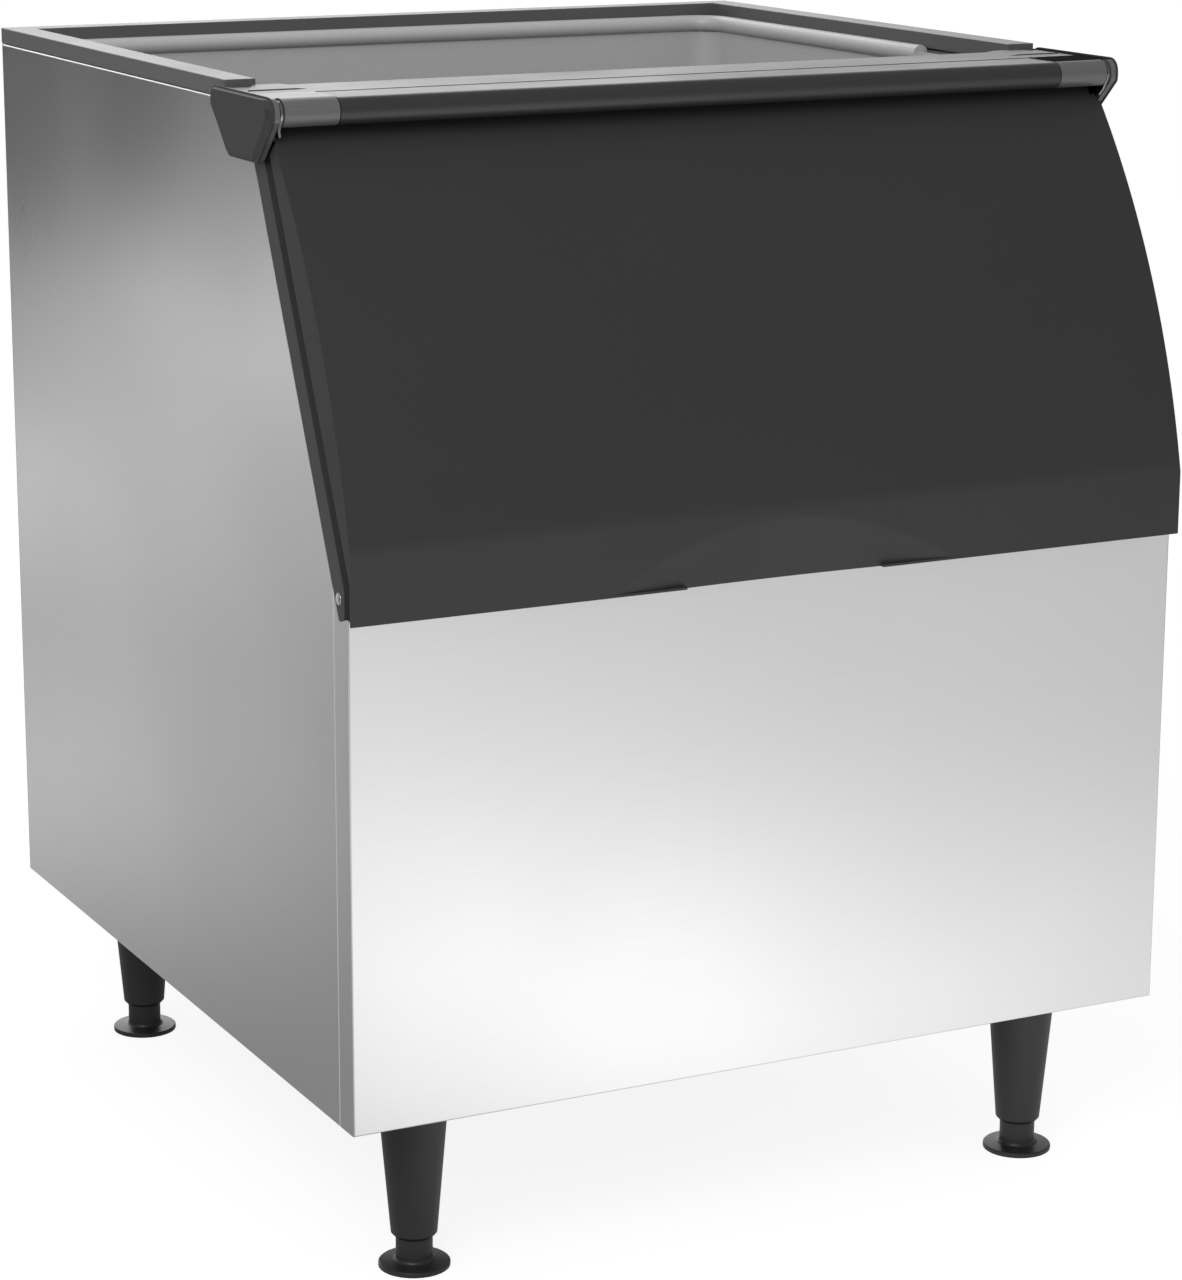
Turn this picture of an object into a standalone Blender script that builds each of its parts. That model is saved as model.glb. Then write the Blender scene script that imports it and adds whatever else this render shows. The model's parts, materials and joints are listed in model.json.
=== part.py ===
"""Ice storage bin: an insulated cabinet on levelling legs, with a curved, top-hinged front door.

Metres, +Z up. The origin is on the floor, under the middle of the bin, and the front faces -Y.
The pieces are drawn in the cabinet's own frame: X from the middle, Y back from the front panel's face,
Z up from the cabinet's lower edge. Along the sloped front, S runs up the slope and N out of it.
"""

from math import asin, atan, atan2, cos, hypot, pi, radians, sin, sqrt, tan

import bmesh
import bpy
from mathutils import Matrix, Vector

# Cabinet
CABINET_WIDTH = 0.762
CABINET_DEPTH = 0.7911
CABINET_HEIGHT = 0.7975
SHEET = 0.001
SHEET_BEND = 0.0015
FLANGE = 0.020
FRONT_HEIGHT = 0.4215
FRONT_TOP_FALL = 0.0087
FRONT_WRAP = 0.0265
PAN_SHEET = 0.0012
PAN_RIM = 0.024
GAP = 0.0003
OVERRUN = 0.010
WELD = 0.00001

# Legs and feet
LEG_HEIGHT = 0.1524
LEG_SIDE_INSET = 0.085
LEG_FRONT_INSET = 0.0745
LEG_BACK_INSET = 0.0801
LEG_TOP_RADIUS = 0.0298
LEG_END_RADIUS = 0.0194
LEG_LENGTH = 0.126
LEG_EDGE = 0.0034
LEG_LIP = 0.0005
LEG_STUD_RADIUS = 0.005
LEG_STUD_LENGTH = 0.014
LEG_PLATE_SIZE = 0.080
LEG_PLATE_SHEET = 0.003
STEM_RADIUS = 0.0154
STEM_CLEARANCE = 0.0004
STEM_INSIDE = 0.040
STEM_HEADROOM = 0.0025
FOOT_RADIUS = 0.030
FOOT_RIM = 0.004
FOOT_RISE = 0.0010
FOOT_EDGE = 0.0008
FOOT_FILLET = 0.0035
FOOT_RETRACT = 0.011

# Sloped front opening and its moulded frame
SLOPE_RISE_SHARE = 0.468
FRAME_SETBACK = 0.0062
FRAME_BAND = 0.0215
STRIP_DEPTH = 0.0204
FRAME_CORNER = 0.0035
OPENING_SIDE = 0.036
OPENING_SILL = 0.052
OPENING_HEAD = 0.033
OPENING_CORNER = 0.020
RIM_WIDTH = 0.027
RIM_BOTTOM_WIDTH = 0.028
RIM_TOP_WIDTH = 0.018
RIM_HEIGHT = 0.014

# Hinge line, header, brackets and end caps
HINGE_DROP = 0.0027
HINGE_STANDOFF = 0.0421
NOSE_RADIUS = 0.0109
HEADER_INSET = 0.049
HEADER_PLATE = 0.0097
LEDGE_SETBACK = 0.042
LEDGE_DEPTH = 0.0596
LEDGE_RISE = 0.0004
EAR_WIDTH = 0.043
EAR_DEPTH = 0.037
EAR_RISE = 0.0016
EAR_RAMP = 0.013
EAR_END_FRONT = 0.002
EAR_END_BACK = 0.021
TENON_LENGTH = 0.034
BRACKET_SKIN = 0.0018
BRACKET_RAISE = 0.0006
BRACKET_END_GAP = 0.0008
SLOT_INNER_INSET = 0.0023
SLOT_WIDTH = 0.0045
SLOT_RADIUS = 0.012
CHEEK_SHEET = 0.0045
CHEEK_INSET = 0.001
CAP_RIM = 0.0012
CAP_HEIGHT = 0.0048
CAP_LAND = 0.004
CAP_FRONT_EASE = 0.004
CAP_BACK_EASE = 0.006
CAP_TOP_EASE = 0.0018
CAP_ROUND = 0.0115
CAP_HEEL_ROUND = 0.006
CAP_TOP_RISE = 0.0129
CAP_FRONT_REACH = 0.012
CAP_FRONT_DROP = 0.006
CAP_FOOT_DROP = 0.0402
CAP_FOOT_FRONT = 0.0225
CAP_FOOT_BACK = 0.0825
CAP_BACK_REACH = 0.1196
CAP_BACK_DROP = 0.0025
PAD_SETBACK = 0.0216
PAD_MARGIN = 0.006
PIN_RADIUS = 0.004
PIN_SEAT = 0.011
BUSH_RADIUS = 0.006

# Top rail
RAIL_WIDTH = 0.0263
RAIL_HEIGHT = 0.0139
RAIL_PROUD = 0.0005
RAIL_GAP = 0.0053

# Liner
LINER_WALL = 0.004
LINER_SETBACK = 0.0095
LINER_FRONT = 0.036
LINER_FLOOR = 0.057
LINER_FLOOR_FALL = 0.006
LINER_CORNER = 0.030
LINER_TOP_DROP = 0.0025
LIP_RADIUS = 0.008
LIP_RISE = 0.004
LIP_FRONT = 0.362

# Drain
DRAIN_BACK_INSET = 0.091
DRAIN_FLANGE_RADIUS = 0.028
DRAIN_FLANGE = 0.003
DRAIN_RADIUS = 0.016
DRAIN_BORE = 0.010
STRAINER_RADIUS = 0.012
STRAINER_DEPTH = 0.005
STRAINER_SHEET = 0.002
STRAINER_HOLE = 0.0022
STRAINER_HOLES = 6
STRAINER_PITCH_SHARE = 0.6
DRAIN_REACH = 0.028
DRAIN_NUT_RADIUS = 0.026
DRAIN_NUT = 0.010
DRAIN_NUT_SIDES = 6

# Door
DOOR_OVERHANG = 0.0015
DOOR_PROUD = 0.0098
DOOR_LAP = 0.0042
DOOR_BAND = 0.0537
DOOR_ARC_RADIUS = 0.730
DOOR_STANDOFF = 0.016
DOOR_SKIN = 0.0018
DOOR_TOP_DROP = 0.0057
DOOR_TOP_DEPTH = 0.0093
DOOR_EDGE = 0.0032
DOOR_CORNER = 0.008
DOOR_CORNER_DROP = 0.0188
DOOR_FLANGE_DROP = 0.0213
DOOR_FLANGE_FRONT = 0.010
DOOR_FLANGE_RISE = 0.012
RECESS_RADIUS = 0.281
RECESS_DEPTH = 0.007
RECESS_DROP = 0.0015
RECESS_BACK_DROP = 0.0005
LEDGE_SHEET = 0.002
FINGER_HALF = 0.091
PANEL_SHEET = 0.002
PANEL_SIDE = 0.005
PANEL_SILL = 0.018
PANEL_HEAD = 0.0167
PLUG_DEPTH = 0.010
PLUG_MARGIN = 0.010
CORE_SILL = 0.004
SEAL_SHEET = 0.0014
SEAL_WIDTH = 0.018
SEAL_INSET = 0.004

# Door arms
ARM_SHEET = 0.0021
ARM_OUTER = 0.0011
ARM_JOGGLE = 0.0017
ARM_HUB = 0.010
ARM_STRAP = 0.0065
ARM_BACK_CLEARANCE = 0.0025
ARM_LENGTH = 0.0967
ARM_NECK_DROP = 0.0189
ARM_NECK_FRONT = 0.0051
ARM_NECK_SETBACK = 0.0201
ARM_CHIN_DROP = 0.0099
ARM_JOGGLE_TOP = 0.0135
ARM_JOGGLE_RUN = 0.004
ARM_SCREW_PITCH = 0.040
ARM_SCREW_END = 0.015

# Screws
SCREW_HEAD_RADIUS = 0.005
SCREW_HEAD = 0.002
SCREW_RADIUS = 0.002
SCREW_LENGTH = 0.011
SCREW_EDGE_SHARE = 0.6
FRAME_SCREW_SETBACK = 0.0105
FRAME_SCREW_RISE = 0.0129
FRAME_SCREW_HEAD = 0.0012
FRAME_HOLE_SPARE = 0.005
BACK_SCREW_INSET = 0.011
BACK_SCREW_END = 0.090
BACK_SCREW_LENGTH = 0.0035
ARM_SCREW_HEAD = 0.0017

# Smoothness of turned and rounded shapes
TURN_STEPS = 32
ARC_STEPS = 12
DOOR_ARC_STEPS = 28
RECESS_TURN_STEPS = 180
ROUND_STEPS = 4
SHARP_ANGLE = radians(32)

# Sizes worked out from the ones above
HALF_WIDTH = CABINET_WIDTH / 2
LEAN = atan(SLOPE_RISE_SHARE)
BACK_REACH = CABINET_DEPTH + GAP + SCREW_HEAD
FRONT_FACE_Y = -(BACK_REACH - DOOR_PROUD) / 2
SHEET_INNER_X = HALF_WIDTH - SHEET
PAN_FLOOR_Z = SHEET + GAP
PAN_INNER_X = SHEET_INNER_X - GAP - PAN_SHEET
BACK_FLANGE_Y = CABINET_DEPTH - SHEET - GAP - SHEET
KINK_Z = FRONT_HEIGHT + FRAME_BAND
HINGE_Z = CABINET_HEIGHT - HINGE_DROP
HEADER_UNDER_Z = HINGE_Z + NOSE_RADIUS - HEADER_PLATE
FRAME_TOP_Z = HEADER_UNDER_Z - GAP
RAIL_INNER_X = HALF_WIDTH + RAIL_PROUD - RAIL_WIDTH
LINER_X = RAIL_INNER_X - LINER_SETBACK
LINER_BACK_Y = CABINET_DEPTH - RAIL_WIDTH - LINER_SETBACK
LINER_TOP_Z = CABINET_HEIGHT - LINER_TOP_DROP
OPENING_X = HALF_WIDTH - OPENING_SIDE
HEADER_HALF = HALF_WIDTH - HEADER_INSET
DOOR_X = HALF_WIDTH + DOOR_OVERHANG
DOOR_BOTTOM_Z = FRONT_HEIGHT - DOOR_LAP
DOOR_BAND_Z = DOOR_BOTTOM_Z + DOOR_BAND
SLOT_INNER_X = HALF_WIDTH - SLOT_INNER_INSET
SLOT_OUTER_X = SLOT_INNER_X + SLOT_WIDTH
CHEEK_OUTER_X = SLOT_OUTER_X + CHEEK_SHEET
TENON_X = HEADER_HALF + TENON_LENGTH
ARM_OUTER_X = SLOT_OUTER_X - ARM_OUTER
ARM_INNER_X = ARM_OUTER_X - ARM_SHEET
STRAP_OUTER_X = ARM_OUTER_X - ARM_JOGGLE
STRAP_INNER_X = STRAP_OUTER_X - ARM_SHEET
PANEL_X = HALF_WIDTH - PANEL_SIDE


def front_top_z(y):
    """Height of the front panel's top wall, which falls towards the back."""
    return FRONT_HEIGHT - y * FRONT_TOP_FALL / FRONT_WRAP


def slope_y(z, n):
    """Y of the line at height z that runs n in front of the frame's sloped face."""
    return FRAME_SETBACK + (z - KINK_Z) * tan(LEAN) - n / cos(LEAN)


def slope_point(s, n):
    """(y, z) of a point s up the slope from the frame's kink and n out of it."""
    return (FRAME_SETBACK + s * sin(LEAN) - n * cos(LEAN), KINK_Z + s * cos(LEAN) + n * sin(LEAN))


def slope_s(y, z):
    """How far up the slope a point (y, z) lies."""
    return (y - FRAME_SETBACK) * sin(LEAN) + (z - KINK_Z) * cos(LEAN)


HINGE_Y = slope_y(HINGE_Z, HINGE_STANDOFF)
HINGE_S = slope_s(HINGE_Y, HINGE_Z)
LEDGE_Y = HINGE_Y + LEDGE_SETBACK
LEDGE_BACK_Y = LEDGE_Y + LEDGE_DEPTH
RAIL_FRONT_Y = LEDGE_BACK_Y + RAIL_GAP
HEADER_TOP_Z = HINGE_Z + NOSE_RADIUS
OPENING_TOP_S = HINGE_S - OPENING_HEAD
PANEL_TOP_S = HINGE_S - PANEL_HEAD
DOOR_TOP_S = HINGE_S - DOOR_TOP_DROP
SLOPE_FRAME = Matrix.Translation((0, FRAME_SETBACK, KINK_Z)) @ Matrix(
    ((1, 0, 0, 0), (0, sin(LEAN), -cos(LEAN), 0), (0, cos(LEAN), sin(LEAN), 0), (0, 0, 0, 1))
)

for leftover in list(bpy.data.objects):
    bpy.data.objects.remove(leftover, do_unlink=True)
PARTS = bpy.data.collections.new("ice_storage_bin")
CUTTERS = bpy.data.collections.new("cutters")
bpy.context.scene.collection.children.link(PARTS)
bpy.context.scene.collection.children.link(CUTTERS)


def make_material(name, colour, roughness, metallic=0.0):
    """A plain Principled material."""
    material = bpy.data.materials.new(name)
    material.use_nodes = True
    shader = material.node_tree.nodes["Principled BSDF"]
    shader.inputs["Base Color"].default_value = (*colour, 1.0)
    shader.inputs["Roughness"].default_value = roughness
    shader.inputs["Metallic"].default_value = metallic
    material.diffuse_color = (*colour, 1.0)
    return material


SATIN_STEEL = make_material("satin_steel", (0.56, 0.56, 0.56), 0.30, 1.0)
BRIGHT_STEEL = make_material("bright_steel", (0.50, 0.50, 0.51), 0.22, 1.0)
GALVANISED = make_material("galvanised", (0.42, 0.43, 0.44), 0.45, 1.0)
BLACK_PLASTIC = make_material("black_plastic", (0.045, 0.045, 0.045), 0.50)
DOOR_PLASTIC = make_material("door_plastic", (0.042, 0.042, 0.042), 0.45)
RAIL_STRIP = make_material("rail_strip", (0.10, 0.10, 0.10), 0.55)
LINER_PLASTIC = make_material("liner_plastic", (0.45, 0.45, 0.45), 0.40)
FOAM = make_material("foam", (0.75, 0.66, 0.42), 0.90)
SEAL_RUBBER = make_material("seal_rubber", (0.02, 0.02, 0.02), 0.70)
LEG_BLACK = make_material("leg_black", (0.022, 0.023, 0.026), 0.40)
DRAIN_PLASTIC = make_material("drain_plastic", (0.60, 0.60, 0.60), 0.45)


def add_anchor(name, place, parent=None):
    """An empty that carries pieces."""
    anchor = bpy.data.objects.new(name, None)
    PARTS.objects.link(anchor)
    anchor.location = place
    anchor.parent = parent
    return anchor


CABINET = add_anchor("cabinet_frame", (0, FRONT_FACE_Y, LEG_HEIGHT))
DOOR_HINGE = add_anchor("door_hinge", (0, HINGE_Y, HINGE_Z), CABINET)


def add_object(name, mesh, collection, parent):
    """An object whose mesh is drawn in the cabinet's frame, carried by an anchor."""
    piece = bpy.data.objects.new(name, mesh)
    collection.objects.link(piece)
    piece.parent = parent
    if parent is DOOR_HINGE:
        piece.matrix_parent_inverse = Matrix.Translation((0, -HINGE_Y, -HINGE_Z))
    return piece


def add_part(name, mesh, material, parent=CABINET):
    """A piece of the bin, shaded smooth with its corners kept sharp."""
    mesh.materials.append(material)
    mesh.shade_smooth()
    mesh.set_sharp_from_angle(angle=SHARP_ANGLE)
    return add_object(name, mesh, PARTS, parent)


def add_cutter(mesh):
    """A helper shape that is hidden from the finished bin."""
    helper = add_object(mesh.name, mesh, CUTTERS, CABINET)
    helper.display_type = "WIRE"
    helper.hide_render = True
    return helper


def combine(piece, helper, operation):
    """Put one Boolean with a helper shape on a piece."""
    boolean = piece.modifiers.new(helper.name, "BOOLEAN")
    boolean.operation = operation
    boolean.object = helper


def cut(piece, *meshes):
    """Cut each mesh out of a piece."""
    for mesh in meshes:
        combine(piece, add_cutter(mesh), "DIFFERENCE")


def join(piece, *meshes):
    """Grow a piece by each mesh."""
    for mesh in meshes:
        combine(piece, add_cutter(mesh), "UNION")


def mirrored(side, near, far):
    """The X range between two distances from the middle, on the side that is -1 or 1."""
    return tuple(sorted((side * near, side * far)))


def box_mesh(name, x, y, z):
    """A box between three (low, high) ranges."""
    work = bmesh.new()
    bmesh.ops.create_cube(work, size=1)
    size = Matrix.Diagonal((x[1] - x[0], y[1] - y[0], z[1] - z[0], 1))
    middle = Matrix.Translation(((x[0] + x[1]) / 2, (y[0] + y[1]) / 2, (z[0] + z[1]) / 2))
    bmesh.ops.transform(work, matrix=middle @ size, verts=work.verts)
    mesh = bpy.data.meshes.new(name)
    work.to_mesh(mesh)
    work.free()
    return mesh


def round_edges(mesh, radius, direction, wanted=None, steps=ROUND_STEPS):
    """Round the straight edges that run along a direction and that the test picks by their middle."""
    work = bmesh.new()
    work.from_mesh(mesh)
    along = Vector(direction)
    picked = []
    for edge in work.edges:
        run = (edge.verts[1].co - edge.verts[0].co).normalized()
        middle = (edge.verts[0].co + edge.verts[1].co) / 2
        if abs(run.dot(along)) > cos(SHARP_ANGLE) and (wanted is None or wanted(middle)):
            picked.append(edge)
    bmesh.ops.bevel(work, geom=picked, offset=radius, segments=steps, profile=0.5, affect="EDGES")
    work.to_mesh(mesh)
    work.free()
    return mesh


def slope_box_mesh(name, x, s, n, corner=0.0):
    """A box that lies along the slope, with the corners of its outline rounded."""
    mesh = box_mesh(name, x, s, n)
    if corner:
        round_edges(mesh, corner, (0, 0, 1))
    mesh.transform(SLOPE_FRAME)
    return mesh


def rod_mesh(name, centre, radius, low, high, axis="X", sides=TURN_STEPS):
    """A round rod along X, Y or Z, through a centre given by its other two coordinates."""
    work = bmesh.new()
    bmesh.ops.create_cone(
        work, cap_ends=True, segments=sides, radius1=radius, radius2=radius, depth=high - low
    )
    mesh = bpy.data.meshes.new(name)
    work.to_mesh(mesh)
    work.free()
    middle = (low + high) / 2
    if axis == "X":
        turn = Matrix.Rotation(pi / 2, 4, "Y")
        place = (middle, *centre)
    elif axis == "Y":
        turn = Matrix.Rotation(pi / 2, 4, "X")
        place = (centre[0], middle, centre[1])
    else:
        turn = Matrix.Identity(4)
        place = (*centre, middle)
    mesh.transform(Matrix.Translation(place) @ turn)
    return mesh


def curve_to_mesh(curve_object):
    """A welded mesh of a curve, in the curve's place; the curve is removed."""
    graph = bpy.context.evaluated_depsgraph_get()
    mesh = bpy.data.meshes.new_from_object(curve_object.evaluated_get(graph))
    mesh.transform(curve_object.matrix_world)
    mesh.name = curve_object.name
    bpy.data.objects.remove(curve_object, do_unlink=True)
    work = bmesh.new()
    work.from_mesh(mesh)
    bmesh.ops.remove_doubles(work, verts=work.verts, dist=WELD)
    bmesh.ops.recalc_face_normals(work, faces=work.faces)
    work.to_mesh(mesh)
    work.free()
    return mesh


def outline_mesh(name, outline, low, high, axis="X"):
    """A flat outline carried from low to high along X, Y or Z.

    The outline is (y, z) for X, (x, z) for Y and (x, y) for Z.
    """
    frames = {
        "X": Matrix(((0, 0, 1, 0), (1, 0, 0, 0), (0, 1, 0, 0), (0, 0, 0, 1))),
        "Y": Matrix(((1, 0, 0, 0), (0, 0, -1, 0), (0, 1, 0, 0), (0, 0, 0, 1))),
        "Z": Matrix.Identity(4),
    }
    middle = (low + high) / 2
    places = {"X": (middle, 0, 0), "Y": (0, middle, 0), "Z": (0, 0, middle)}
    curve = bpy.data.curves.new(name, "CURVE")
    curve.dimensions = "2D"
    curve.fill_mode = "BOTH"
    curve.extrude = (high - low) / 2
    spline = curve.splines.new("POLY")
    spline.points.add(len(outline) - 1)
    for point, (across, up) in zip(spline.points, outline):
        point.co = (across, up, 0, 1)
    spline.use_cyclic_u = True
    guide = bpy.data.objects.new(name, curve)
    CUTTERS.objects.link(guide)
    guide.matrix_world = Matrix.Translation(places[axis]) @ frames[axis]
    bpy.context.view_layer.update()
    return curve_to_mesh(guide)


def arc(centre, radius, start, end, steps=ARC_STEPS):
    """Points on a circle from one angle to another, both ends included."""
    points = []
    for step in range(steps + 1):
        angle = start + (end - start) * step / steps
        points.append((centre[0] + radius * cos(angle), centre[1] + radius * sin(angle)))
    return points


def rounded_outline(corners, steps=ROUND_STEPS):
    """An outline whose corners, each (across, up, radius), are rounded by arcs."""
    points = []
    count = len(corners)
    for index, (across, up, radius) in enumerate(corners):
        corner = Vector((across, up))
        if not radius:
            points.append((across, up))
            continue
        before = (Vector(corners[index - 1][:2]) - corner).normalized()
        after = (Vector(corners[(index + 1) % count][:2]) - corner).normalized()
        half = before.angle(after) / 2
        centre = corner + (before + after).normalized() * radius / sin(half)
        first = corner + before * radius / tan(half) - centre
        last = corner + after * radius / tan(half) - centre
        start = atan2(first.y, first.x)
        sweep = (atan2(last.y, last.x) - start + pi) % (2 * pi) - pi
        points += arc(centre, radius, start, start + sweep, steps)
    return points


def turned_part(
    name, profile, place, material, parent=CABINET, steps=TURN_STEPS, turn=None, closed=False
):
    """A profile of (radius, height) points turned about a line through the place; closed for a ring."""
    mesh = bpy.data.meshes.new(name)
    edges = [(index, index + 1) for index in range(len(profile) - 1)]
    if closed:
        edges.append((len(profile) - 1, 0))
    mesh.from_pydata([(radius, 0, height) for radius, height in profile], edges, [])
    piece = add_part(name, mesh, material, parent)
    piece.location = place
    if turn:
        piece.rotation_euler = turn
    screw = piece.modifiers.new("turn", "SCREW")
    screw.steps = steps
    screw.render_steps = steps
    screw.use_merge_vertices = True
    screw.merge_threshold = WELD
    return piece


def front_panel():
    """The stainless front: a tray open to the back, its sides run up to the door frame's heels."""
    mesh = box_mesh("front_panel", (-HALF_WIDTH, HALF_WIDTH), (0, FRONT_WRAP), (0, FRONT_HEIGHT))
    work = bmesh.new()
    work.from_mesh(mesh)
    back = [face for face in work.faces if face.normal.y > 0.5]
    bmesh.ops.delete(work, geom=back, context="FACES_ONLY")
    for vert in work.verts:
        if vert.co.z > FRONT_HEIGHT - WELD:
            vert.co.z = front_top_z(vert.co.y)
    work.normal_update()
    front = [edge for edge in work.edges if all(abs(vert.co.y) < WELD for vert in edge.verts)]
    bmesh.ops.bevel(
        work, geom=front, offset=SHEET_BEND, segments=ROUND_STEPS, profile=0.5, affect="EDGES"
    )
    work.to_mesh(mesh)
    work.free()
    panel = add_part("front_panel", mesh, SATIN_STEEL)
    wall = panel.modifiers.new("wall", "SOLIDIFY")
    wall.thickness = SHEET
    wall.offset = -1
    wall.use_even_offset = True
    back = FRONT_WRAP - SHEET / 10
    tip_z = KINK_Z + (back - slope_y(KINK_Z, -STRIP_DEPTH - GAP)) / tan(LEAN)
    toe = (FRAME_SETBACK, front_top_z(FRAME_SETBACK), 0)
    edge = rounded_outline([(back, tip_z, 0), frame_heel(GAP), toe])[:-1]
    foot_z = front_top_z(back) - SHEET / 2
    horn = [*edge, (edge[-1][0], foot_z), (back, foot_z)]
    for side, where in ((-1, "left"), (1, "right")):
        span = mirrored(side, HALF_WIDTH - SHEET * 3 / 4, HALF_WIDTH - SHEET / 10)
        join(panel, outline_mesh(f"front_horn_{where}", horn, *span))


def side_outline(inset, front_run):
    """A side panel's (y, z) outline, inset at the bottom, back and top, run on past its front edge."""
    edge_y = FRONT_WRAP + GAP
    knee_z = KINK_Z + (edge_y - slope_y(KINK_Z, -STRIP_DEPTH - GAP)) / tan(LEAN)
    top_z = CABINET_HEIGHT - inset
    return [
        (edge_y - front_run, inset),
        (BACK_FLANGE_Y + SHEET - inset, inset),
        (BACK_FLANGE_Y + SHEET - inset, top_z),
        (slope_y(top_z, -STRIP_DEPTH - GAP) - front_run, top_z),
        (edge_y - front_run, knee_z),
    ]


def side_panel(side, name):
    """A stainless side with its bottom, back and top edges folded inwards."""
    mesh = outline_mesh(name, side_outline(0, 0), *mirrored(side, HALF_WIDTH - FLANGE, HALF_WIDTH))
    panel = add_part(name, mesh, SATIN_STEEL)
    hollow = mirrored(side, HALF_WIDTH - FLANGE - OVERRUN, SHEET_INNER_X)
    cut(panel, outline_mesh(f"{name}_hollow", side_outline(SHEET, OVERRUN), *hollow))
    for z in back_screw_heights():
        centre = (side * (HALF_WIDTH - BACK_SCREW_INSET), z)
        span = (BACK_FLANGE_Y - OVERRUN, CABINET_DEPTH)
        hole = rod_mesh(f"{name}_hole", centre, SCREW_RADIUS + GAP, *span, "Y", ARC_STEPS)
        cut(panel, hole)


def back_screw_heights():
    """Heights of the back panel's screws."""
    return (BACK_SCREW_END, CABINET_HEIGHT - BACK_SCREW_END)


def back_panel():
    """A flat sheet over the back, screwed to the sides' folded edges."""
    y = (CABINET_DEPTH - SHEET, CABINET_DEPTH)
    mesh = box_mesh("back_panel", (-HALF_WIDTH, HALF_WIDTH), y, (0, CABINET_HEIGHT))
    panel = add_part("back_panel", mesh, GALVANISED)
    for side, where in ((-1, "left"), (1, "right")):
        for z, level in zip(back_screw_heights(), ("lower", "upper")):
            centre = (side * (HALF_WIDTH - BACK_SCREW_INSET), z)
            span = (CABINET_DEPTH - OVERRUN, CABINET_DEPTH + OVERRUN)
            hole = f"back_hole_{where}_{level}"
            cut(panel, rod_mesh(hole, centre, SCREW_RADIUS + GAP, *span, "Y", ARC_STEPS))
            name = f"back_screw_{where}_{level}"
            seat = (centre[0], CABINET_DEPTH + GAP, z)
            screw(name, seat, (-pi / 2, 0, 0), SCREW_HEAD, length=BACK_SCREW_LENGTH)


def screw(name, seat, turn, head, parent=CABINET, length=SCREW_LENGTH):
    """A pan-head screw whose head stands on the seat point, pointing along its turned Z."""
    shoulder = SCREW_HEAD_RADIUS * SCREW_EDGE_SHARE
    profile = [
        (0, head),
        (shoulder, head),
        (SCREW_HEAD_RADIUS, head * (1 - SCREW_EDGE_SHARE)),
        (SCREW_HEAD_RADIUS, 0),
        (SCREW_RADIUS, 0),
        (SCREW_RADIUS, -length),
        (0, -length),
    ]
    turned_part(name, profile, seat, BRIGHT_STEEL, parent, ARC_STEPS, turn)


def leg_places():
    """The four legs' names and (x, y) centres."""
    places = []
    for where, side in (("left", -1), ("right", 1)):
        x = side * (HALF_WIDTH - LEG_SIDE_INSET)
        places.append((f"front_{where}", x, LEG_FRONT_INSET))
        places.append((f"rear_{where}", x, CABINET_DEPTH - LEG_BACK_INSET))
    return places


def drain_place():
    """The drain's (x, y) centre."""
    return (0, CABINET_DEPTH - DRAIN_BACK_INSET)


def base_pan():
    """The galvanised floor tray that carries the legs and the drain."""
    x = SHEET_INNER_X - GAP
    y = (SHEET + GAP, BACK_FLANGE_Y - GAP)
    mesh = box_mesh("base_pan", (-x, x), y, (PAN_FLOOR_Z, PAN_FLOOR_Z + PAN_RIM))
    work = bmesh.new()
    work.from_mesh(mesh)
    top = [face for face in work.faces if face.normal.z > 0.5]
    bmesh.ops.delete(work, geom=top, context="FACES_ONLY")
    work.to_mesh(mesh)
    work.free()
    pan = add_part("base_pan", mesh, GALVANISED)
    wall = pan.modifiers.new("wall", "SOLIDIFY")
    wall.thickness = PAN_SHEET
    wall.offset = -1
    wall.use_even_offset = True
    depth = (0, PAN_RIM)
    for where, leg_x, leg_y in leg_places():
        cut(pan, rod_mesh(f"pan_hole_{where}", (leg_x, leg_y), LEG_STUD_RADIUS + GAP, *depth, "Z"))
    cut(pan, rod_mesh("pan_hole_drain", drain_place(), DRAIN_RADIUS + GAP, *depth, "Z"))


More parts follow.
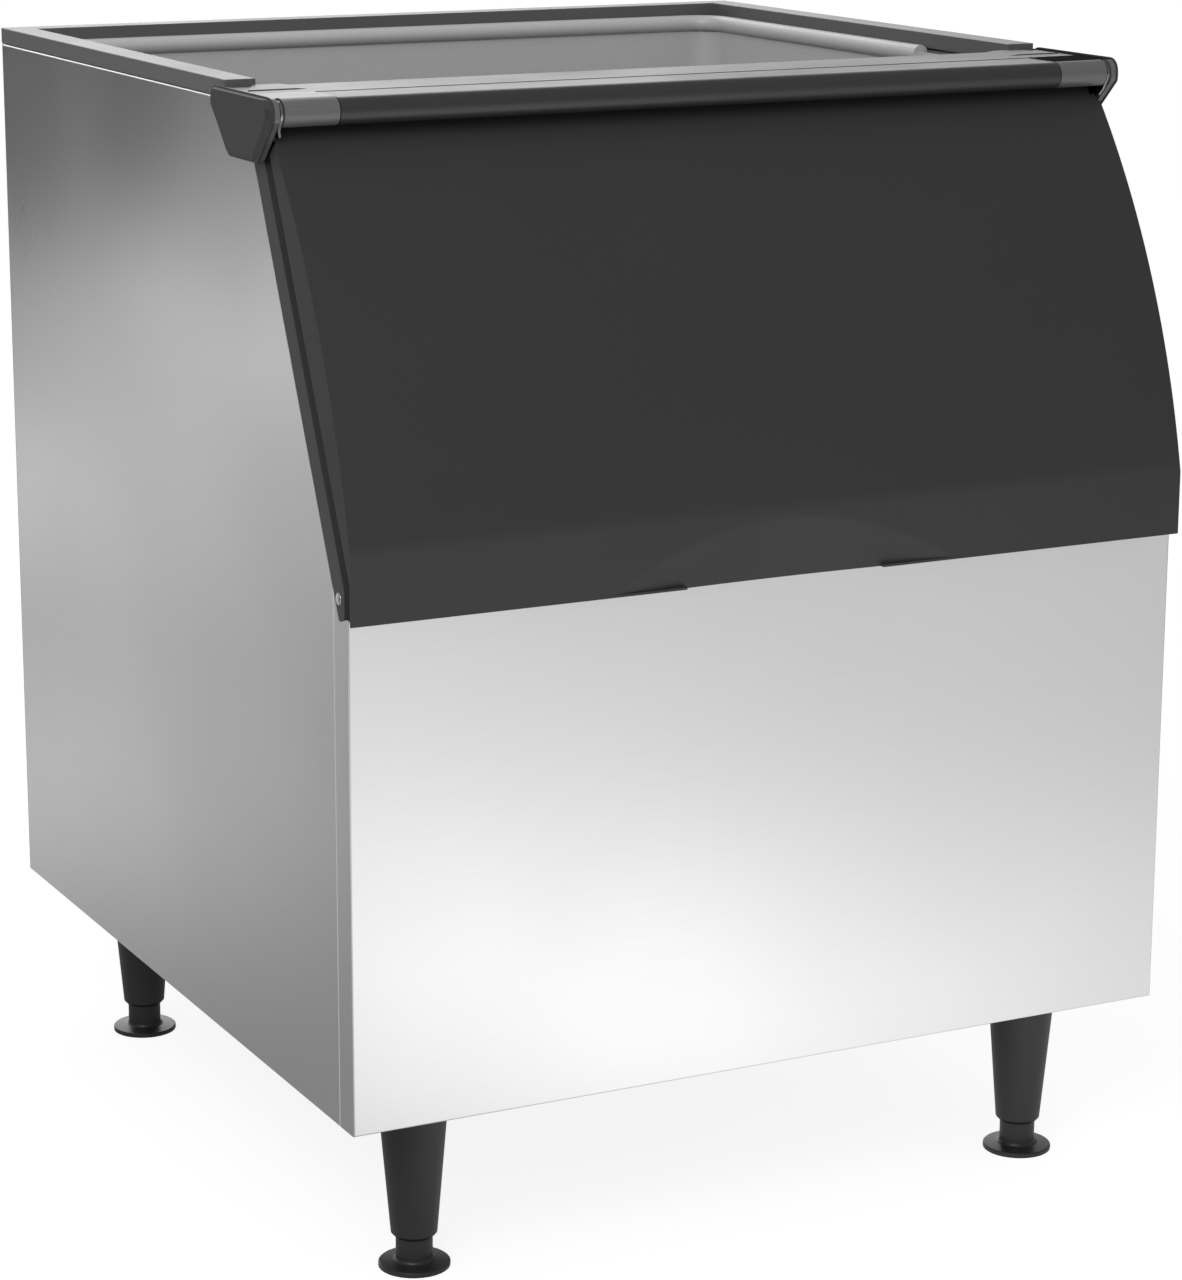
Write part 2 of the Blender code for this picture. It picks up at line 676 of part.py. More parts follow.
def legs():
    """Tapered legs, each with a stud up through the base pan and a bore for its foot's stem."""
    bore = STEM_RADIUS + STEM_CLEARANCE
    bore_top = -LEG_LENGTH + STEM_INSIDE + FOOT_RETRACT + STEM_HEADROOM
    stud_top = PAN_FLOOR_Z + PAN_SHEET + LEG_PLATE_SHEET + LEG_STUD_LENGTH
    leg_profile = [
        (0, stud_top),
        (LEG_STUD_RADIUS, stud_top),
        (LEG_STUD_RADIUS, SHEET),
        (LEG_TOP_RADIUS, SHEET),
        (LEG_TOP_RADIUS, 0),
        (LEG_END_RADIUS, -LEG_LENGTH + LEG_EDGE),
        (bore + LEG_LIP, -LEG_LENGTH),
        (bore, -LEG_LENGTH),
        (bore, bore_top),
        (0, bore_top),
    ]
    floor = -LEG_HEIGHT
    stem_top = -LEG_LENGTH + STEM_INSIDE
    fillet_centre = (STEM_RADIUS + FOOT_FILLET, floor + FOOT_RIM + FOOT_RISE + FOOT_FILLET)
    fillet = arc(fillet_centre, FOOT_FILLET, pi, pi * 3 / 2, ARC_STEPS // 2)
    foot_profile = [
        (0, stem_top),
        (STEM_RADIUS, stem_top),
        *fillet,
        (FOOT_RADIUS - FOOT_EDGE, floor + FOOT_RIM),
        (FOOT_RADIUS, floor + FOOT_RIM - FOOT_EDGE),
        (FOOT_RADIUS, floor),
        (0, floor),
    ]
    plate_z = (PAN_FLOOR_Z + PAN_SHEET + GAP, PAN_FLOOR_Z + PAN_SHEET + GAP + LEG_PLATE_SHEET)
    half = LEG_PLATE_SIZE / 2
    for where, x, y in leg_places():
        turned_part(f"leg_{where}", leg_profile, (x, y, 0), LEG_BLACK)
        turned_part(f"foot_{where}", foot_profile, (x, y, 0), LEG_BLACK)
        name = f"leg_plate_{where}"
        mesh = box_mesh(name, (x - half, x + half), (y - half, y + half), plate_z)
        plate = add_part(name, mesh, GALVANISED)
        span = (plate_z[0] - OVERRUN, plate_z[1] + OVERRUN)
        cut(plate, rod_mesh(f"{name}_hole", (x, y), LEG_STUD_RADIUS + GAP, *span, "Z"))


def floor_z(y, thickness):
    """Height of the liner's floor, which falls to the back, above or below its top face."""
    share = (LINER_BACK_Y - y) / (LINER_BACK_Y - LINER_FRONT)
    return LINER_FLOOR + LINER_FLOOR_FALL * share - thickness


def tub_mesh(name, wall, rise, round_front=True):
    """The liner's solid form, grown by a wall, with its top and sloped mouth raised."""
    front = LINER_FRONT - wall
    back = LINER_BACK_Y + wall
    top = LINER_TOP_Z + rise
    mouth = -STRIP_DEPTH - GAP + rise
    knee_z = KINK_Z + (front - slope_y(KINK_Z, mouth)) / tan(LEAN)
    outline = [
        (front, floor_z(front, wall)),
        (back, floor_z(back, wall)),
        (back, top),
        (slope_y(top, mouth), top),
        (front, knee_z),
    ]
    x = LINER_X + wall
    mesh = outline_mesh(name, outline, -x, x)
    corner = LINER_CORNER - LINER_WALL + wall

    def wanted(middle):
        return middle.y > back - WELD or (round_front and middle.y < front + WELD)

    return round_edges(mesh, corner, (0, 0, 1), wanted)


def lip_mesh():
    """The rolled lip on the tub's back and side edges."""
    x = RAIL_INNER_X - GAP - LIP_RADIUS
    y = CABINET_DEPTH - RAIL_WIDTH - GAP - LIP_RADIUS
    radius = LINER_CORNER
    route = [(-x, LIP_FRONT)]
    route += arc((-x + radius, y - radius), radius, pi, pi / 2, ARC_STEPS // 2)
    route += arc((x - radius, y - radius), radius, pi / 2, 0, ARC_STEPS // 2)
    route.append((x, LIP_FRONT))
    z = CABINET_HEIGHT + LIP_RISE - LIP_RADIUS
    curve = bpy.data.curves.new("liner_lip", "CURVE")
    curve.dimensions = "3D"
    curve.bevel_depth = LIP_RADIUS
    curve.bevel_resolution = 3
    curve.use_fill_caps = True
    spline = curve.splines.new("POLY")
    spline.points.add(len(route) - 1)
    for point, (across, deep) in zip(spline.points, route):
        point.co = (across, deep, z, 1)
    guide = bpy.data.objects.new("liner_lip", curve)
    CUTTERS.objects.link(guide)
    bpy.context.view_layer.update()
    return curve_to_mesh(guide)


def liner():
    """The plastic tub: open at the top and at the sloped front, with a floor that falls to the drain."""
    tub = add_part("liner", tub_mesh("liner", LINER_WALL, 0), LINER_PLASTIC)
    cut(tub, tub_mesh("liner_hollow", 0, OVERRUN))
    join(tub, lip_mesh())
    hole = rod_mesh("liner_drain_hole", drain_place(), DRAIN_RADIUS + GAP, 0, LINER_FLOOR + OVERRUN, "Z")
    cut(tub, hole)


def insulation():
    """The foam between the cabinet's sheets and the liner."""
    low = PAN_FLOOR_Z + PAN_SHEET + GAP
    front = SHEET + GAP + PAN_SHEET + GAP
    back = BACK_FLANGE_Y - GAP - PAN_SHEET - GAP
    top = CABINET_HEIGHT - SHEET - GAP
    step_y = FRONT_WRAP + GAP
    step_z = front_top_z(step_y) - SHEET - GAP
    behind = -STRIP_DEPTH - GAP
    knee_z = KINK_Z + (step_y - slope_y(KINK_Z, behind)) / tan(LEAN)
    outline = [
        (front, low),
        (back, low),
        (back, top),
        (slope_y(top, behind), top),
        (step_y, knee_z),
        (step_y, step_z),
        (front, step_z),
    ]
    x = PAN_INNER_X - GAP
    foam = add_part("insulation", outline_mesh("insulation", outline, -x, x), FOAM)
    cut(foam, tub_mesh("foam_hollow", LINER_WALL + GAP, OVERRUN, round_front=False))
    lip_x = RAIL_INNER_X
    lip_y = (LINER_FRONT, CABINET_DEPTH - RAIL_WIDTH)
    lip_z = (CABINET_HEIGHT + LIP_RISE - LIP_RADIUS * 2 - GAP * 2, CABINET_HEIGHT + OVERRUN)
    cut(foam, box_mesh("foam_lip_rebate", (-lip_x, lip_x), lip_y, lip_z))
    half = LEG_PLATE_SIZE / 2 + GAP
    stud = low + LEG_PLATE_SHEET + LEG_STUD_LENGTH + GAP
    for where, leg_x, leg_y in leg_places():
        span = ((leg_x - half, leg_x + half), (leg_y - half, leg_y + half), (0, stud))
        cut(foam, box_mesh(f"foam_pocket_{where}", *span))
    reach = (0, LINER_FLOOR)
    cut(foam, rod_mesh("foam_drain_hole", drain_place(), DRAIN_RADIUS + GAP, *reach, "Z"))


def drain():
    """The drain's flanged tube, its strainer in the flange and its nut under the base pan."""
    x, y = drain_place()
    seat = floor_z(y - DRAIN_FLANGE_RADIUS, 0) + GAP
    top = seat + DRAIN_FLANGE
    counterbore = STRAINER_RADIUS + GAP
    step = top - STRAINER_DEPTH
    tube = [
        (counterbore, top),
        (DRAIN_FLANGE_RADIUS - DRAIN_FLANGE, top),
        (DRAIN_FLANGE_RADIUS, seat),
        (DRAIN_RADIUS, seat),
        (DRAIN_RADIUS, -DRAIN_REACH),
        (DRAIN_BORE, -DRAIN_REACH),
        (DRAIN_BORE, step),
        (counterbore, step),
    ]
    turned_part("drain_tube", tube, (x, y, 0), DRAIN_PLASTIC, closed=True)
    disc = (step + GAP, step + GAP + STRAINER_SHEET)
    mesh = rod_mesh("drain_strainer", (x, y), STRAINER_RADIUS, *disc, "Z")
    strainer = add_part("drain_strainer", mesh, BRIGHT_STEEL)
    for index in range(STRAINER_HOLES):
        angle = 2 * pi * index / STRAINER_HOLES
        reach = STRAINER_RADIUS * STRAINER_PITCH_SHARE
        centre = (x + reach * cos(angle), y + reach * sin(angle))
        span = (disc[0] - OVERRUN, disc[1] + OVERRUN)
        cut(strainer, rod_mesh(f"strainer_hole_{index}", centre, STRAINER_HOLE, *span, "Z", ARC_STEPS))
    nut_z = (PAN_FLOOR_Z - GAP - DRAIN_NUT, PAN_FLOOR_Z - GAP)
    mesh = rod_mesh("drain_nut", (x, y), DRAIN_NUT_RADIUS, *nut_z, "Z", DRAIN_NUT_SIDES)
    nut = add_part("drain_nut", mesh, DRAIN_PLASTIC)
    bore_z = (nut_z[0] - OVERRUN, nut_z[1] + OVERRUN)
    cut(nut, rod_mesh("nut_bore", (x, y), DRAIN_RADIUS + GAP, *bore_z, "Z"))


def top_rail():
    """The U-shaped strip round the open top, on which the ice machine stands."""
    outer = HALF_WIDTH + RAIL_PROUD
    back = CABINET_DEPTH
    outline = [
        (-outer, RAIL_FRONT_Y),
        (-RAIL_INNER_X, RAIL_FRONT_Y),
        (-RAIL_INNER_X, back - RAIL_WIDTH),
        (RAIL_INNER_X, back - RAIL_WIDTH),
        (RAIL_INNER_X, RAIL_FRONT_Y),
        (outer, RAIL_FRONT_Y),
        (outer, back),
        (-outer, back),
    ]
    low = CABINET_HEIGHT + GAP
    add_part("top_rail", outline_mesh("top_rail", outline, low, low + RAIL_HEIGHT, "Z"), RAIL_STRIP)


def frame_heel(gap):
    """The (y, z) corner and the radius of the door frame's heel, grown by a gap."""
    lift = GAP - gap
    fall = FRONT_TOP_FALL / FRONT_WRAP
    y = slope_y(FRONT_HEIGHT + lift, -STRIP_DEPTH - gap) / (1 + fall * tan(LEAN))
    return (y, front_top_z(y) + lift, FRAME_CORNER + gap)


def door_frame():
    """The moulded frame round the sloped opening, with the raised rim that the door's seal meets."""
    outline = rounded_outline(
        [
            (FRAME_SETBACK, front_top_z(FRAME_SETBACK) + GAP, 0),
            (FRAME_SETBACK, KINK_Z, 0),
            (slope_y(FRAME_TOP_Z, 0), FRAME_TOP_Z, 0),
            (slope_y(FRAME_TOP_Z, -STRIP_DEPTH), FRAME_TOP_Z, 0),
            frame_heel(0),
        ]
    )
    mesh = outline_mesh("door_frame", outline, -HALF_WIDTH, HALF_WIDTH)
    frame = add_part("door_frame", mesh, BLACK_PLASTIC)
    rim_x = OPENING_X + RIM_WIDTH
    rim_s = (OPENING_SILL - RIM_BOTTOM_WIDTH, OPENING_TOP_S + RIM_TOP_WIDTH)
    rim_n = (-STRIP_DEPTH / 2, RIM_HEIGHT)
    join(frame, slope_box_mesh("frame_rim", (-rim_x, rim_x), rim_s, rim_n, OPENING_CORNER))
    hole_s = (OPENING_SILL, OPENING_TOP_S)
    hole_n = (-STRIP_DEPTH * 2, RIM_HEIGHT + OVERRUN)
    cut(frame, slope_box_mesh("frame_opening", (-OPENING_X, OPENING_X), hole_s, hole_n, OPENING_CORNER))
    for side, where in ((-1, "left"), (1, "right")):
        centre = (FRAME_SETBACK + FRAME_SCREW_SETBACK, FRONT_HEIGHT + FRAME_SCREW_RISE)
        span = mirrored(side, HALF_WIDTH - SCREW_LENGTH - FRAME_HOLE_SPARE, HALF_WIDTH + OVERRUN)
        cut(frame, rod_mesh(f"frame_hole_{where}", centre, SCREW_RADIUS + GAP, *span, "X", ARC_STEPS))
        seat = (side * (HALF_WIDTH + GAP), *centre)
        screw(f"frame_screw_{where}", seat, (0, side * pi / 2, 0), FRAME_SCREW_HEAD)


def header_section(skin, back):
    """The header's (y, z) section: a round nose with a flat plate behind it, inset by a skin."""
    radius = NOSE_RADIUS - skin
    low = HEADER_UNDER_Z + skin
    start = asin((low - HINGE_Z) / radius)
    nose = arc((HINGE_Y, HINGE_Z), radius, start, -3 * pi / 2, ARC_STEPS * 2)
    return [*nose, (back, HINGE_Z + radius), (back, low)]


def header():
    """The black bar across the front of the top: nose, plate, raised ledge, ears and end tenons."""
    back = (LEDGE_Y + LEDGE_BACK_Y) / 2
    mesh = outline_mesh("header", header_section(0, back), -HEADER_HALF, HEADER_HALF)
    bar = add_part("header", mesh, BLACK_PLASTIC)
    tenon_section = header_section(BRACKET_SKIN + GAP, back)
    ledge_z = (CABINET_HEIGHT + GAP, HEADER_TOP_Z + LEDGE_RISE)
    join(
        bar,
        outline_mesh("header_tenons", tenon_section, -TENON_X, TENON_X),
        box_mesh("header_ledge", (-HALF_WIDTH, HALF_WIDTH), (LEDGE_Y, LEDGE_BACK_Y), ledge_z),
    )
    ear_low = (CABINET_HEIGHT + HEADER_TOP_Z) / 2
    ear_y = (LEDGE_BACK_Y - EAR_DEPTH, LEDGE_BACK_Y)
    for side, where in ((-1, "left"), (1, "right")):
        inner = HALF_WIDTH - EAR_WIDTH
        ear = [
            (side * HALF_WIDTH, ear_low),
            (side * HALF_WIDTH, HEADER_TOP_Z + EAR_RISE),
            (side * inner, HEADER_TOP_Z + EAR_RISE),
            (side * (inner - EAR_RAMP), HEADER_TOP_Z),
            (side * (inner - EAR_RAMP), ear_low),
        ]
        raised = outline_mesh(f"header_ear_{where}", ear, *ear_y, "Y")
        for vert in raised.vertices:
            if abs(vert.co.x) > HALF_WIDTH - WELD:
                share = (vert.co.y - ear_y[0]) / EAR_DEPTH
                vert.co.x -= side * (EAR_END_FRONT + (EAR_END_BACK - EAR_END_FRONT) * share)
        join(bar, raised)


def cap_outline(inset):
    """The end cap's rounded (y, z) outline round the hinge, inset all round."""
    top = HINGE_Z + CAP_TOP_RISE - inset
    foot = HINGE_Z - CAP_FOOT_DROP + inset
    slant = inset * tan(pi / 8)
    return rounded_outline(
        [
            (HINGE_Y - CAP_FRONT_REACH + inset, top, CAP_ROUND - inset),
            (HINGE_Y + CAP_BACK_REACH - inset, top, CAP_ROUND - inset),
            (HINGE_Y + CAP_BACK_REACH - inset, HINGE_Z - CAP_BACK_DROP + slant, CAP_HEEL_ROUND),
            (HINGE_Y + CAP_FOOT_BACK - slant, foot, CAP_ROUND - inset),
            (HINGE_Y + CAP_FOOT_FRONT + slant, foot, CAP_HEEL_ROUND),
            (HINGE_Y - CAP_FRONT_REACH + inset, HINGE_Z - CAP_FRONT_DROP + slant, CAP_HEEL_ROUND),
        ],
        ARC_STEPS // 2,
    )


def hinge_bracket(side, where):
    """A stainless wrap on the header's end, slotted for the door's arm, with a cheek under the cap."""
    back = LEDGE_Y - GAP
    near = HEADER_HALF + BRACKET_END_GAP
    section = header_section(0, back)
    raised = [(y, z + BRACKET_RAISE) if z > HEADER_TOP_Z - WELD else (y, z) for y, z in section]
    name = f"hinge_bracket_{where}"
    mesh = outline_mesh(name, raised, *mirrored(side, near, CHEEK_OUTER_X - CHEEK_SHEET / 2))
    bracket = add_part(name, mesh, BRIGHT_STEEL)
    cheek_x = mirrored(side, SLOT_OUTER_X, CHEEK_OUTER_X)
    pad_x = mirrored(side, HALF_WIDTH + GAP, CHEEK_OUTER_X - CHEEK_SHEET / 2)
    pad_y = (HINGE_Y + PAD_SETBACK, HINGE_Y + CAP_FOOT_BACK - PAD_MARGIN)
    pad_z = (HINGE_Z - CAP_FOOT_DROP + PAD_MARGIN, HINGE_Z - PAD_MARGIN)
    pocket = header_section(BRACKET_SKIN, LEDGE_Y + OVERRUN)
    pocket_x = mirrored(side, near - OVERRUN, TENON_X + GAP)
    slot_x = mirrored(side, SLOT_INNER_X, SLOT_OUTER_X + CHEEK_SHEET / 4)
    axle = (HINGE_Y, HINGE_Z)
    bore_x = mirrored(side, TENON_X + BRACKET_SKIN, CHEEK_OUTER_X + OVERRUN)
    cut(
        bracket,
        outline_mesh(f"{name}_pocket", pocket, *pocket_x),
        rod_mesh(f"{name}_slot", axle, SLOT_RADIUS, *slot_x),
    )
    join(
        bracket,
        outline_mesh(f"{name}_cheek", cap_outline(CHEEK_INSET), *cheek_x),
        box_mesh(f"{name}_pad", pad_x, pad_y, pad_z),
    )
    cut(bracket, rod_mesh(f"{name}_bore", axle, PIN_RADIUS + GAP, *bore_x, "X", ARC_STEPS * 2))
    pin_x = mirrored(side, TENON_X + BRACKET_SKIN + GAP, CHEEK_OUTER_X - GAP)
    pin = f"hinge_pin_{where}"
    add_part(pin, rod_mesh(pin, axle, PIN_RADIUS, *pin_x, "X", ARC_STEPS * 2), BRIGHT_STEEL)


def end_cap(side, where):
    """The black cover on a bracket's outer face: a thin rim with a raised, slope-sided middle."""
    name = f"end_cap_{where}"
    rim_x = mirrored(side, CHEEK_OUTER_X + GAP, CHEEK_OUTER_X + GAP + CAP_RIM)
    mesh = outline_mesh(name, cap_outline(0), *rim_x)
    work = bmesh.new()
    work.from_mesh(mesh)
    outer_x = side * (CHEEK_OUTER_X + GAP + CAP_RIM)
    outer = [face for face in work.faces if all(abs(vert.co.x - outer_x) < WELD for vert in face.verts)]
    bmesh.ops.dissolve_faces(work, faces=outer)
    outer = [face for face in work.faces if all(abs(vert.co.x - outer_x) < WELD for vert in face.verts)]
    bmesh.ops.inset_region(work, faces=outer, thickness=CAP_RIM, use_even_offset=True)
    bmesh.ops.inset_region(work, faces=outer, thickness=CAP_LAND - CAP_RIM, use_even_offset=True)
    front = HINGE_Y - CAP_FRONT_REACH
    foot = HINGE_Z - CAP_FOOT_DROP
    for vert in {vert for face in outer for vert in face.verts}:
        share = (vert.co.y - front) / (CAP_FRONT_REACH + CAP_BACK_REACH)
        ease = CAP_FRONT_EASE * (1 - share) - CAP_BACK_EASE * share
        top_ease = CAP_TOP_EASE * (vert.co.z - foot) / (CAP_FOOT_DROP + CAP_TOP_RISE)
        vert.co += Vector((side * (CAP_HEIGHT - CAP_RIM), ease, top_ease))
    work.to_mesh(mesh)
    work.free()
    add_part(name, mesh, BLACK_PLASTIC)


def door_arc_centre():
    """Centre (y, z) of the door's curve, through its band's top and its tucked top edge."""
    start = Vector((-DOOR_PROUD, DOOR_BAND_Z))
    end = Vector(slope_point(DOOR_TOP_S, DOOR_STANDOFF + DOOR_TOP_DEPTH))
    chord = end - start
    inward = Vector((chord.y, -chord.x)).normalized()
    return (start + end) / 2 + inward * sqrt(DOOR_ARC_RADIUS**2 - (chord.length / 2) ** 2)


def door_face(inset, low, top_s):
    """Points down the door's face, inset from its outside, from top_s on the slope to a low end."""
    centre = door_arc_centre()
    radius = DOOR_ARC_RADIUS - inset

    def angle_at(y, z):
        return pi - asin((z - centre.y) / hypot(y - centre.x, z - centre.y))

    end_y, end_z = slope_point(top_s, DOOR_STANDOFF + DOOR_TOP_DEPTH - inset)
    top_angle = angle_at(end_y, end_z)
    band_z = centre.y + sqrt(radius**2 - (-DOOR_PROUD + inset - centre.x) ** 2)
    low_z = max(low, band_z)
    low_y = centre.x - sqrt(radius**2 - (low_z - centre.y) ** 2)
    points = arc(centre, radius, top_angle, angle_at(low_y, low_z), DOOR_ARC_STEPS)
    if low < band_z:
        points.append((-DOOR_PROUD + inset, low))
    return points


def recess_lens(name, wall):
    """The finger recess as a shallow lens in front of the door's lower band, grown by a wall."""
    lower = RECESS_RADIUS - (DOOR_BAND - RECESS_DROP)
    stand = (RECESS_RADIUS**2 - lower**2 - RECESS_DEPTH**2) / (2 * RECESS_DEPTH)
    sphere = hypot(stand, RECESS_RADIUS) + wall
    reach = RECESS_RADIUS + OVERRUN * 2
    bowl = []
    for step in range(ARC_STEPS + 1):
        radius = reach * step / ARC_STEPS
        bowl.append((radius, sqrt(sphere**2 - radius**2) - stand))
    front = bowl[-1][1] - OVERRUN
    profile = [*bowl, (reach, front), (0, front)]
    place = (0, -DOOR_PROUD, DOOR_BAND_Z - RECESS_DROP - RECESS_RADIUS)
    lens = turned_part(name, profile, place, DOOR_PLASTIC, CABINET, RECESS_TURN_STEPS, (-pi / 2, 0, 0))
    bpy.context.view_layer.update()
    graph = bpy.context.evaluated_depsgraph_get()
    mesh = bpy.data.meshes.new_from_object(lens.evaluated_get(graph))
    mesh.transform(CABINET.matrix_world.inverted() @ lens.matrix_world)
    mesh.name = name
    bpy.data.objects.remove(lens, do_unlink=True)
    return mesh


def trimmed_mesh(name, mesh, window):
    """What a window shape keeps of a mesh."""
    rough = add_cutter(mesh)
    combine(rough, add_cutter(window), "INTERSECT")
    bpy.context.view_layer.update()
    graph = bpy.context.evaluated_depsgraph_get()
    kept = bpy.data.meshes.new_from_object(rough.evaluated_get(graph))
    kept.name = name
    bpy.data.objects.remove(rough, do_unlink=True)
    return kept


def finger_recess(shell):
    """Press the recess into the shell's lower band, leaving a thin ledge either side of the finger cut."""
    below = DOOR_BOTTOM_Z - OVERRUN
    bump = box_mesh(
        "recess_back_window",
        (-RECESS_RADIUS, RECESS_RADIUS),
        (-DOOR_PROUD + DOOR_SKIN / 2, OVERRUN),
        (below, DOOR_BAND_Z - RECESS_BACK_DROP),
    )
    join(shell, trimmed_mesh("recess_back", recess_lens("recess_outer", DOOR_SKIN), bump))
    ledge_z = DOOR_BOTTOM_Z + LEDGE_SHEET
    outline = [
        (-FINGER_HALF, below - OVERRUN),
        (FINGER_HALF, below - OVERRUN),
        (FINGER_HALF, ledge_z),
        (RECESS_RADIUS, ledge_z),
        (RECESS_RADIUS, DOOR_BAND_Z),
        (-RECESS_RADIUS, DOOR_BAND_Z),
        (-RECESS_RADIUS, ledge_z),
        (-FINGER_HALF, ledge_z),
    ]
    scoop = outline_mesh("recess_scoop_window", outline, -DOOR_PROUD - OVERRUN, OVERRUN, "Y")
    cut(shell, trimmed_mesh("recess_scoop", recess_lens("recess_inner", 0), scoop))


def door_shell():
    """The curved outer shell: side flanges, closed top edge and a finger recess in its lower band."""
    back_n = DOOR_STANDOFF
    inner_y = -DOOR_PROUD + DOOR_SKIN
    foot_z = KINK_Z + (inner_y - slope_y(KINK_Z, back_n)) / tan(LEAN)
    below = DOOR_BOTTOM_Z - OVERRUN
    top_back = slope_point(DOOR_TOP_S, back_n)
    outline = [*door_face(0, below, DOOR_TOP_S), (inner_y, below), (inner_y, foot_z), top_back]
    mesh = outline_mesh("door_shell", outline, -DOOR_X, DOOR_X)
    shell = add_part("door_shell", mesh, DOOR_PLASTIC, DOOR_HINGE)
    low = foot_z + DOOR_SKIN
    far = back_n - OVERRUN
    pocket_top = DOOR_TOP_S - DOOR_SKIN
    pocket = [
        *door_face(DOOR_SKIN, low, pocket_top),
        (slope_y(low, far), low),
        slope_point(pocket_top, far),
    ]
    inner_x = DOOR_X - DOOR_SKIN
    cut(shell, outline_mesh("door_pocket", pocket, -inner_x, inner_x))
    finger_recess(shell)
    sill_x = (-DOOR_X - OVERRUN, DOOR_X + OVERRUN)
    sill_z = (below - OVERRUN, DOOR_BOTTOM_Z)
    cut(shell, box_mesh("door_sill", sill_x, (-DOOR_PROUD - OVERRUN, OVERRUN), sill_z))
    for side, where in ((-1, "left"), (1, "right")):
        cut(shell, *door_corner_meshes(side, where))


def door_corner_meshes(side, where):
    """Cutters that round a top corner of the door and slant the top of its flange."""
    corner_z = HINGE_Z - DOOR_CORNER_DROP
    centre = (side * (DOOR_X - DOOR_CORNER), corner_z - DOOR_CORNER)
    start = pi / 2
    end = start - side * pi / 2
    far = side * (DOOR_X + OVERRUN)
    top = HINGE_Z + OVERRUN
    outline = arc(centre, DOOR_CORNER, start, end, ARC_STEPS // 2)
    outline += [(far, centre[1]), (far, top), (centre[0], top)]
    depth = (HINGE_Y - SLOT_RADIUS - OVERRUN, LEDGE_Y)
    corner = outline_mesh(f"door_corner_{where}", outline, *depth, "Y")
    slant_z = HINGE_Z - DOOR_FLANGE_DROP
    slant = [
        (HINGE_Y - DOOR_FLANGE_FRONT, slant_z + DOOR_FLANGE_RISE),
        (LEDGE_Y, slant_z - (LEDGE_Y - HINGE_Y)),
        (LEDGE_Y, top),
        (HINGE_Y - DOOR_FLANGE_FRONT, top),
    ]
    flange_x = mirrored(side, DOOR_X - DOOR_SKIN - GAP, DOOR_X + OVERRUN)
    return corner, outline_mesh(f"door_flange_{where}", slant, *flange_x)


def door_inside():
    """The door's inner panel with its raised plug, the foam core and the flat seal."""
    back = DOOR_STANDOFF
    panel_n = (back, back + PANEL_SHEET)
    panel_s = (PANEL_SILL, PANEL_TOP_S)
    plug_x = OPENING_X - PLUG_MARGIN
    plug_s = (OPENING_SILL + PLUG_MARGIN, OPENING_TOP_S - PLUG_MARGIN)
    plug_n = (back - PLUG_DEPTH, back + PANEL_SHEET / 2)
    mesh = slope_box_mesh("door_inner_panel", (-PANEL_X, PANEL_X), panel_s, panel_n)
    panel = add_part("door_inner_panel", mesh, LINER_PLASTIC, DOOR_HINGE)
    join(panel, slope_box_mesh("panel_plug", (-plug_x, plug_x), plug_s, plug_n, OPENING_CORNER))
    dish_x = plug_x - PANEL_SHEET
    dish_s = (plug_s[0] + PANEL_SHEET, plug_s[1] - PANEL_SHEET)
    dish_n = (plug_n[0] + PANEL_SHEET, back + PANEL_SHEET + OVERRUN)
    dish_corner = OPENING_CORNER - PANEL_SHEET
    cut(panel, slope_box_mesh("panel_dish", (-dish_x, dish_x), dish_s, dish_n, dish_corner))

    core_n = back + PANEL_SHEET + GAP
    low = DOOR_BAND_Z + CORE_SILL
    outline = [
        *door_face(DOOR_SKIN + GAP, low, PANEL_TOP_S),
        (slope_y(low, core_n), low),
        slope_point(PANEL_TOP_S, core_n),
    ]
    mesh = outline_mesh("door_core", outline, -PANEL_X, PANEL_X)
    core = add_part("door_core", mesh, FOAM, DOOR_HINGE)
    fill_x = dish_x - GAP
    fill_s = (dish_s[0] + GAP, dish_s[1] - GAP)
    fill_n = (dish_n[0] + GAP, core_n + GAP)
    join(core, slope_box_mesh("core_fill", (-fill_x, fill_x), fill_s, fill_n, dish_corner))

    seal_x = OPENING_X + RIM_WIDTH - SEAL_INSET
    seal_s = (OPENING_SILL - RIM_BOTTOM_WIDTH + SEAL_INSET, OPENING_TOP_S + RIM_TOP_WIDTH - SEAL_INSET)
    seal_n = (back - GAP - SEAL_SHEET, back - GAP)
    mesh = slope_box_mesh("door_seal", (-seal_x, seal_x), seal_s, seal_n, OPENING_CORNER)
    seal = add_part("door_seal", mesh, SEAL_RUBBER, DOOR_HINGE)
    hole_x = OPENING_X + SEAL_INSET
    hole_s = (OPENING_SILL - SEAL_INSET, OPENING_TOP_S + SEAL_INSET)
    hole_n = (seal_n[0] - OVERRUN, seal_n[1] + OVERRUN)
    cut(seal, slope_box_mesh("seal_opening", (-hole_x, hole_x), hole_s, hole_n, OPENING_CORNER))


